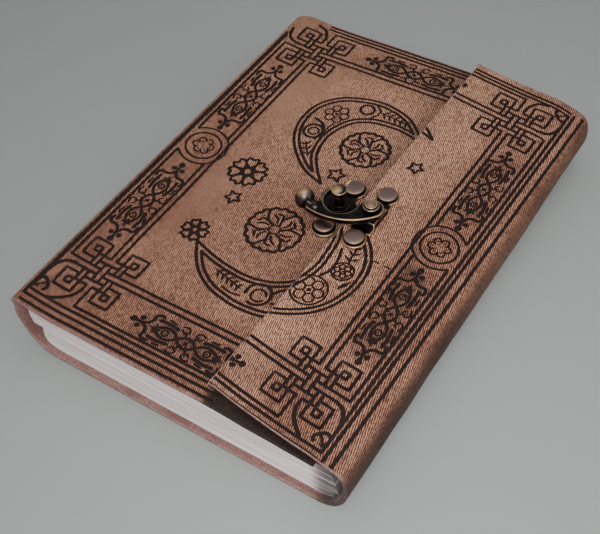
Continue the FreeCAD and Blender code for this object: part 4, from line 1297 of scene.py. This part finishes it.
def stained_and_shaded(run, y):
    """Dark share of the hide: real stains round the border ornaments and in spots by the
    lower moon, painted shadow under the flap, most at the tail, and beside the flap's edge
    on the cover, and painted shade on the outside of the wrap, most at the tail."""
    x = along(run, 1)
    # painted shadow on the cover under the flap, darker towards the tail
    sheltered = 0.4 + 0.53 * (1 - eased(y, 16.0, 44.0))
    under = np.where(run < CREASE, eased(x - flap_edge(y), -0.5, 3.0) * sheltered, 0.0)
    # painted shadow on the cover beside the flap's free edge
    flap_edge_shadow = 0.34 * eased(x - flap_edge(y), -13.0, 0.0) * eased(y, 25.0, 55.0)
    under = np.maximum(under, np.where(run < CREASE, flap_edge_shadow, 0.0))
    spots = np.zeros(len(x))
    for cx, cy, reach, share in STAIN_SPOTS:
        d = np.hypot(x - cx, y - cy) / reach
        spots = np.maximum(spots, share * (1 - eased(d, 0.2, 1.0)) * (run > BROW))
    on_top = (run < CREASE) | (run > BROW)
    for cx, cy, turn in COVER_CARTOUCHES + FLAP_CARTOUCHES:
        wide, tall = (6.0, 22.0) if turn else (22.0, 6.0)
        d = np.maximum(np.abs(x - cx) / wide, np.abs(y - cy) / tall)
        spots = np.maximum(spots, 0.3 * (1 - eased(d, 0.6, 1.1)) * on_top)
    # painted shade on the wrap's outer wall, most at the tail
    wall_shade = ((0.7 - 0.5 * eased(y, 40.0, 130.0)) * eased(run, TOE - 3.0, TOE + 3.0)
            * (1 - eased(run, SHOULDER - 2.0, BROW)))
    return np.maximum(np.maximum(under, wall_shade), spots)


class DIARY_OT_cover_hide(bpy.types.Operator):
    """Front cover, spine and back cover, with the stamped ornament of the front"""
    bl_idname = "diary.cover_hide"
    bl_label = "Cover hide"

    def execute(self, context):
        strokes = in_runs(on_cover(), run_on_cover, lambda x, y: x < flap_edge(y) + 6.0)
        sheet = Hide((flat_end(FRONT), False), (flat_end(SEAM_BACK), True), plan_low,
                     plan_high, strokes)
        made = sheet.build("cover_hide", sizes().groove_depth / MM)
        complete(made, "book", hide_materials(), ["cover_leather"])
        return {"FINISHED"}


class DIARY_OT_wrap_hide(bpy.types.Operator):
    """Fore-edge wrap, the hide that bends at the toe when the real diary opens"""
    bl_idname = "diary.wrap_hide"
    bl_label = "Wrap hide"

    def execute(self, context):
        sheet = Hide((flat_end(SEAM_BACK), True), (flat_end(SEAM_WALL), True),
                     lambda run: 0.0 * run, wrap_high, [])
        made = sheet.build("wrap_hide", sizes().groove_depth / MM)
        complete(made, None, hide_materials(), ["wrap_leather"])
        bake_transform(made)
        return {"FINISHED"}


class DIARY_OT_flap_hide(bpy.types.Operator):
    """Shoulder and flap, with the stamped ornament that crept with the leather"""
    bl_idname = "diary.flap_hide"
    bl_label = "Flap hide"

    def execute(self, context):
        strokes = in_runs(on_flap(), run_on_flap, lambda x, y: x > flap_edge(y) - 3.0)
        sheet = Hide((flat_end(SEAM_WALL), True),
                     (lambda y: run_on_flap(flap_edge(y)), False), flap_low, flap_high,
                     strokes)
        made = sheet.build("flap_hide", sizes().groove_depth / MM)
        complete(made, None, hide_materials(), ["flap_leather"])
        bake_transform(made)
        return {"FINISHED"}


def hide_materials():
    """The three finishes of the hide: grain side, cut edge and flesh side."""
    names = ("stamped_vegetable_tanned_leather", "raw_cut_leather_edge", "suede_flesh_side")
    makers = (stamped_leather, cut_leather, suede)
    return [bpy.data.materials.get(name) or maker(looks())
            for name, maker in zip(names, makers)]


PAGES_LOW, PAGES_HIGH, PAGES_SPLIT = 1.7, 21.3, 11.5   # heights of the block and its parting
FORE_X, FORE_SLOPE = 124.0, 4.7         # the fore edge leans back towards its top


def floor_height(x):
    """Height of the hide's inner face under the pages, which rises at both ends."""
    if x < BACK_X:
        return 12.0 - sqrt(max(0.0, 10.25 ** 2 - (BACK_X - x) ** 2))
    if x > TOE_X:
        return 10.0 - sqrt(max(0.0, 8.25 ** 2 - (x - TOE_X) ** 2))
    return PAGES_LOW


def leaf_line(bottom, top, fold_x, share):
    """Line of a leaf in a signature, from the fore edge over the top, round the fold and
    back; share is 1 for the outermost leaf and falls towards the middle."""
    middle, half, reach = (bottom + top) / 2, (top - bottom) / 2 * share, 1.4 * share
    start_x = fold_x + reach + (1 - share) * 4.6
    xs = np.concatenate([np.linspace(124.6, 78.0, 20), np.linspace(76.0, start_x, 26)])
    rows = []
    for x in xs:
        z = middle + half
        if top == PAGES_HIGH and x > 76.5:
            z -= (x - 76.5) * tan(radians(DROOP)) * (z - bottom) / (top - bottom)
        rows.append([x, z])
    for a in np.linspace(60, -60, 7):
        rows.append([start_x - reach * cos(radians(a)),
                     middle + half * sin(radians(a)) * 1.12])
    rows += [[x, middle - half] for x in xs[::-1]]
    fixed = []
    for x, z in rows:
        if bottom == PAGES_LOW and z < 6:
            z = max(z, floor_height(x) + (z - PAGES_LOW) * 0.6)
        t = (z - PAGES_LOW) / (PAGES_HIGH - PAGES_LOW)
        fixed.append([min(x, FORE_X - FORE_SLOPE * t * t), z])
    return np.array(fixed)


class DIARY_OT_pages(bpy.types.Operator):
    """Two folded signatures of leaves, each leaf edge a little in or out of line"""
    bl_idname = "diary.pages"
    bl_label = "Pages"

    def execute(self, context):
        leaf_depth = sizes().leaf_thickness / MM
        verts, faces, uvs, soil = [], [], [], []
        rng = np.random.default_rng(7)
        for bottom, top, fold_x in ((PAGES_LOW, PAGES_SPLIT - 0.15, 5.9),
                                    (PAGES_SPLIT + 0.15, PAGES_HIGH, 2.1)):
            count = int((top - bottom) / 2 / leaf_depth)
            rings = [leaf_line(bottom, top, fold_x, 1 - k / (count + 0.5))
                     for k in range(count + 1)]
            lengths = np.concatenate([[0], np.cumsum(np.linalg.norm(
                np.diff(rings[0], axis=0), axis=1))])
            n = len(rings[0])
            tail, head = len(verts), len(verts) + (count + 1) * n
            for base, y_end, sign in ((tail, 2.4, 1), (head, COVER_LENGTH - 2.6, -1)):
                for k, leaf_points in enumerate(rings):
                    inset = 0.0 if k == 0 else rng.uniform(0.0, 0.22)
                    inset = max(0.0, inset + 0.1 * sin(k * 0.9))
                    for j, (x, z) in enumerate(leaf_points):
                        shift = inset + 0.05 * sin(j * 0.31 + k)
                        verts.append(spot(x, y_end + sign * max(0.0, shift), z))
                        # painted shade: grey on the fore edge under the wrap, and on the top leaves
                        # towards it
                        shadowed = float(eased(x, 111.0, 119.5)) * (0.45 + 0.55 * (k % 3 > 0))
                        dim = float(eased(x, 102.0, 113.0) * eased(z, 16.5, 18.5))
                        soil.append(max(shadowed, dim))
                        layer = k + 100 * (bottom > PAGES_LOW)
                        uvs.append((lengths[j] * MM, layer * leaf_depth * MM))
                for k in range(count):
                    for j in range(n - 1):
                        a, b = base + k * n + j, base + k * n + j + 1
                        faces.append((a, b, b + n, a + n))
                last = base + count * n
                for j in range(n // 2):
                    faces.append((last + j, last + j + 1, last + n - 2 - j, last + n - 1 - j))
            for j in range(n - 1):
                faces.append((tail + j, tail + j + 1, head + j + 1, head + j))
            for k in range(count):
                for j in (0, n - 1):
                    a, b = k * n + j, (k + 1) * n + j
                    faces.append((tail + a, tail + b, head + b, head + a))
            a = count * n
            faces.append((tail + a, tail + a + n - 1, head + a + n - 1, head + a))
        made = drawn_piece("page_block_leaves", verts, faces, "leaves", uvs)
        set_shares(made, "soil", soil)
        merged(made, 0.001 * MM)
        smoothed(made, 30.0)
        complete(made, "book", [cotton_paper(looks())], ["page_block"])
        return {"FINISHED"}


STITCH_HEIGHTS, STITCHES = (6.8, 16.4), 4
STITCH_START, STITCH_LENGTH, STITCH_PITCH = 16.0, 28.0, 40.0


class DIARY_OT_stitches(bpy.types.Operator):
    """Long stitches of waxed thread that hold the signatures through the spine"""
    bl_idname = "diary.stitches"
    bl_label = "Stitches"

    def execute(self, context):
        stitches = []
        spine = PATH[(PATH[:, 0] > RISE_END) & (PATH[:, 0] < BACK)]
        for row, z in enumerate(STITCH_HEIGHTS):
            run = float(np.interp(-z, -spine[:, 2], spine[:, 0]))
            x, h, a = (float(along(run, c)) for c in (1, 2, 3))
            out_x, out_z = sin(a), -cos(a)
            for k in range(STITCHES):
                y0 = STITCH_START + STITCH_PITCH * k
                y1 = y0 + STITCH_LENGTH
                data = bpy.data.curves.new(f"stitch_{row}_{k}", "CURVE")
                data.dimensions = "3D"
                data.bevel_depth = sizes().thread_width / 2
                data.bevel_resolution = 3
                data.use_fill_caps = True
                thread = data.splines.new("NURBS")
                rows = ((y0, -0.9), (y0 + 0.1, 0.1), (y0 + 1.4, 0.42), ((y0 + y1) / 2, 0.42),
                        (y1 - 1.4, 0.42), (y1 - 0.1, 0.1), (y1, -0.9))
                thread.points.add(len(rows) - 1)
                for point, (y, lift) in zip(thread.points, rows):
                    point.co = (*spot(x + out_x * lift, y, h + out_z * lift), 1.0)
                thread.order_u = 3
                thread.use_endpoint_u = True
                stitches.append(bpy.data.objects.new(data.name, data))
                context.scene.collection.objects.link(stitches[-1])
        pick(*stitches)
        bpy.ops.object.convert(target="MESH")
        bpy.ops.object.join()
        made = context.object
        made.name = made.data.name = "spine_stitches"
        bpy.ops.object.shade_smooth()
        complete(made, "book", [waxed_thread(looks())])
        return {"FINISHED"}


class DIARY_OT_clasp(bpy.types.Operator):
    """Brass receiver, hook plate, swing hook and pivot"""
    bl_idname = "diary.clasp"
    bl_label = "Clasp"

    def execute(self, context):
        brass = antique_brass(looks())
        grid = sizes().cast_grid
        low, high = (corner.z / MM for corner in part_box("receiver_plate"))
        x, y = RECEIVER_X, CLASP_Y
        seat_x, seat_y = x - 2.0, y + 1.0      # a dished seat under the knob
        lumps = [(seat_x, seat_y, low + 0.45, (7.0, 7.0, 0.9)),
                 (x, y, high - 0.6, (2.75, 2.6, 1.1))]
        for t in np.arange(17) / 16:           # the knob's thin bent beak, to the head
            lumps.append((x + 0.2 + 1.3 * t, y + 1.0 + 4.2 * t, high - 0.35 + 0.9 * t ** 1.5,
                          [1.25 - 0.8 * t] * 2 + [0.62 - 0.2 * t]))
        # the knob's top and its beak are rubbed bright, which also paints a highlight on them
        knob, beak = (x - 0.8, y - 0.6, high, 3.0), (x + 1.3, y + 4.2, high + 0.5, 1.8)
        receiver = cast_copy("receiver_plate", "receiver", grid, 4, lumps, [knob, beak],
                             [(seat_x, seat_y, low + 3.6, 8.0)])
        complete(receiver, "book", [brass], ["receiver_plate"])
        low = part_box("hook_plate")[0].z / MM
        x, y = HOOK_PLATE_X - 3.1, CLASP_Y + 1.7       # the plate's domed middle
        plate = cast_copy("hook_plate", "hook_base", grid, 4,
                          [(x, y, low + 0.45, (4.3, 4.3, 0.6))], (),
                          [(x, y, low + 1.6, 4.6)])
        complete(plate, "flap", [brass], ["hook_plate"])
        low, high = (corner.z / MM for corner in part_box("swing_hook"))
        x, y, z = HOOK_PLATE_X - 22.3, CLASP_Y - 6.9, (low + high) / 2 + 0.3
        # the hook's round head, and its neck towards the pivot
        lumps = [(x - 0.2, y + 0.1, z + 0.2, (3.5, 3.6, 3.9))]
        for d in 1.0 + 4.8 * np.arange(17) / 16:
            lumps.append((x + 0.93 * d, y - 0.37 * d, z - 0.07 * d,
                          [max(1.45, 3.5 - 0.6 * d)] * 3))
        # the head's top is rubbed bright, which also paints a highlight there
        hook = cast_copy("swing_hook", "hook_arm", grid, 10, lumps,
                         [(x - 1.2, y + 0.2, z + 4.1, 4.2)])
        complete(hook, "hook", [brass], ["swing_hook"])
        low, high = (corner.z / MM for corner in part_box("hook_pivot"))
        head = high - 1.9
        pivot = turned_piece("pivot_pin", HOOK_PLATE_X, CLASP_Y, [
            (1.45, low, 0.0), (1.45, head, 0.0), (3.0, head, 0.0), (3.0, head + 0.8, 0.1),
            (2.85, head + 0.95, 0.75), (2.45, head + 1.0, 0.1), (2.35, head + 1.0, 0.0),
            (2.3, head + 1.5, 0.2), (2.15, head + 1.65, 0.8), (1.6, head + 1.7, 0.55),
            (1.45, head + 1.6, 0.3), (1.3, head + 1.7, 0.65), (0.8, high - 0.1, 0.6),
            (0.65, high - 0.16, 0.35), (0.5, high - 0.1, 0.6), (0.2, high, 0.6)])
        complete(pivot, "flap", [brass], ["hook_pivot"])
        return {"FINISHED"}


class DIARY_OT_rivets(bpy.types.Operator):
    """Pressed caps of the four rivets, and the finish of their feet"""
    bl_idname = "diary.rivets"
    bl_label = "Rivets"

    def execute(self, context):
        brass = bpy.data.materials["antiqued_cast_brass"]
        for side, body in (("receiver", "book"), ("hook_plate", "flap")):
            for end in ("tail", "head"):
                name = f"{side}_rivet_cap_{end}"
                low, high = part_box(name)
                x = (low.x + high.x) / 2 / MM - SHIFT_X
                y = (low.y + high.y) / 2 / MM - SHIFT_Y
                z, top = low.z / MM, high.z / MM
                cap = turned_piece(f"{side}_cap_{end}", x, y, [
                    (3.3, z, 0.0), (3.58, z + 0.2, 0.0), (3.6, z + 0.75, 0.15),
                    (3.5, z + 1.0, 0.5), (3.25, z + 1.16, 0.75), (2.95, z + 1.24, 0.55),
                    (2.2, top - 0.08, 0.45), (1.2, top - 0.02, 0.4), (0.5, top, 0.4)])
                complete(cap, body, [brass], [name])
                foot = bpy.data.objects[f"{side}_rivet_foot_{end}"]
                complete(foot, body, [brass])
        return {"FINISHED"}


# name, place, aim, width, power in watts and spread in degrees
LIGHTS = (("softbox_over", (-0.1, 0.1, 1.2), (0, 0, 0), 1.0, 3.0, 180),
          ("softbox_side", (-0.9, -0.5, 0.7), (0, 0, 0), 0.6, 0.3, 180),
          ("softbox_right", (1.0, 0.1, 0.6), (0, 0, 0), 0.8, 2.2, 180),
          ("softbox_front", (0.24, -0.38, 0.42), (0.08, -0.1, 0), 0.3, 0.34, 48))
CAMERA_TURN_RISE_ROLL = (36.03, 49.05, -4.55)          # degrees
CAMERA_AIM, CAMERA_DISTANCE = (61.98, 77.10, 0.0), 0.3768


class DIARY_OT_stage(bpy.types.Operator):
    """Pale floor, soft lights and the camera"""
    bl_idname = "diary.stage"
    bl_label = "Stage"

    def execute(self, context):
        bpy.ops.object.select_all(action="DESELECT")
        bpy.ops.mesh.primitive_plane_add(size=6.0, location=(0, 0, 0))
        floor = context.object
        floor.name = "studio_floor"
        floor.data.materials.append(painted_floor(looks()))
        world = bpy.data.worlds.new("studio")
        world.use_nodes = True
        sky = world.node_tree.nodes["Background"].inputs
        sky[0].default_value, sky[1].default_value = (1.0, 1.0, 1.0, 1.0), 0.33
        context.scene.world = world
        for name, place, aim, width, power, spread in LIGHTS:
            light = bpy.data.lights.new(name, "AREA")
            light.size = width
            light.energy = power
            light.spread = radians(spread)
            lamp = bpy.data.objects.new(name, light)
            lamp.location = place
            way = Vector(aim) - Vector(place)
            lamp.rotation_euler = way.to_track_quat("-Z", "Y").to_euler()
            context.scene.collection.objects.link(lamp)
        turn, rise, roll = (radians(a) for a in CAMERA_TURN_RISE_ROLL)
        back = Vector((sin(turn) * cos(rise), -cos(turn) * cos(rise), sin(rise)))
        right = Vector((cos(turn), sin(turn), 0))
        up = back.cross(right)
        across = right * cos(roll) + up * sin(roll)
        over = -right * sin(roll) + up * cos(roll)
        matrix = Matrix((across, over, back)).transposed().to_4x4()
        matrix.translation = Vector(spot(*CAMERA_AIM)) + back * CAMERA_DISTANCE
        data = bpy.data.cameras.new("camera")
        data.lens = sizes().lens
        data.sensor_width = 36.0
        data.clip_start = 0.01
        camera = bpy.data.objects.new("camera", data)
        camera.matrix_world = matrix
        context.scene.collection.objects.link(camera)
        context.scene.camera = camera
        return {"FINISHED"}


class DIARY_PT_panel(bpy.types.Panel):
    """The diary's pieces, in the order they are made"""
    bl_idname = "DIARY_PT_panel"
    bl_label = "Leather diary"
    bl_space_type = "VIEW_3D"
    bl_region_type = "UI"
    bl_category = "Diary"

    def draw(self, context):
        for operator in OPERATORS:
            self.layout.operator(operator.bl_idname)
        for group in (context.scene.diary_sizes, context.scene.diary_colours):
            box = self.layout.box()
            for key in group.__annotations__:
                box.prop(group, key)


OPERATORS = (DIARY_OT_stage, DIARY_OT_cover_hide, DIARY_OT_wrap_hide, DIARY_OT_flap_hide,
             DIARY_OT_pages, DIARY_OT_stitches, DIARY_OT_clasp, DIARY_OT_rivets)
CLASSES = (DiaryColours, DiarySizes) + OPERATORS + (DIARY_PT_panel,)


def register():
    for item in CLASSES:
        bpy.utils.register_class(item)
    bpy.types.Scene.diary_colours = bpy.props.PointerProperty(type=DiaryColours)
    bpy.types.Scene.diary_sizes = bpy.props.PointerProperty(type=DiarySizes)


def unregister():
    del bpy.types.Scene.diary_sizes
    del bpy.types.Scene.diary_colours
    for item in reversed(CLASSES):
        bpy.utils.unregister_class(item)


def main():
    register()
    bpy.ops.diary.stage()
    bpy.ops.diary.cover_hide()
    bpy.ops.diary.wrap_hide()
    bpy.ops.diary.flap_hide()
    bpy.ops.diary.pages()
    bpy.ops.diary.stitches()
    bpy.ops.diary.clasp()
    bpy.ops.diary.rivets()


if __name__ == "__main__":
    main()
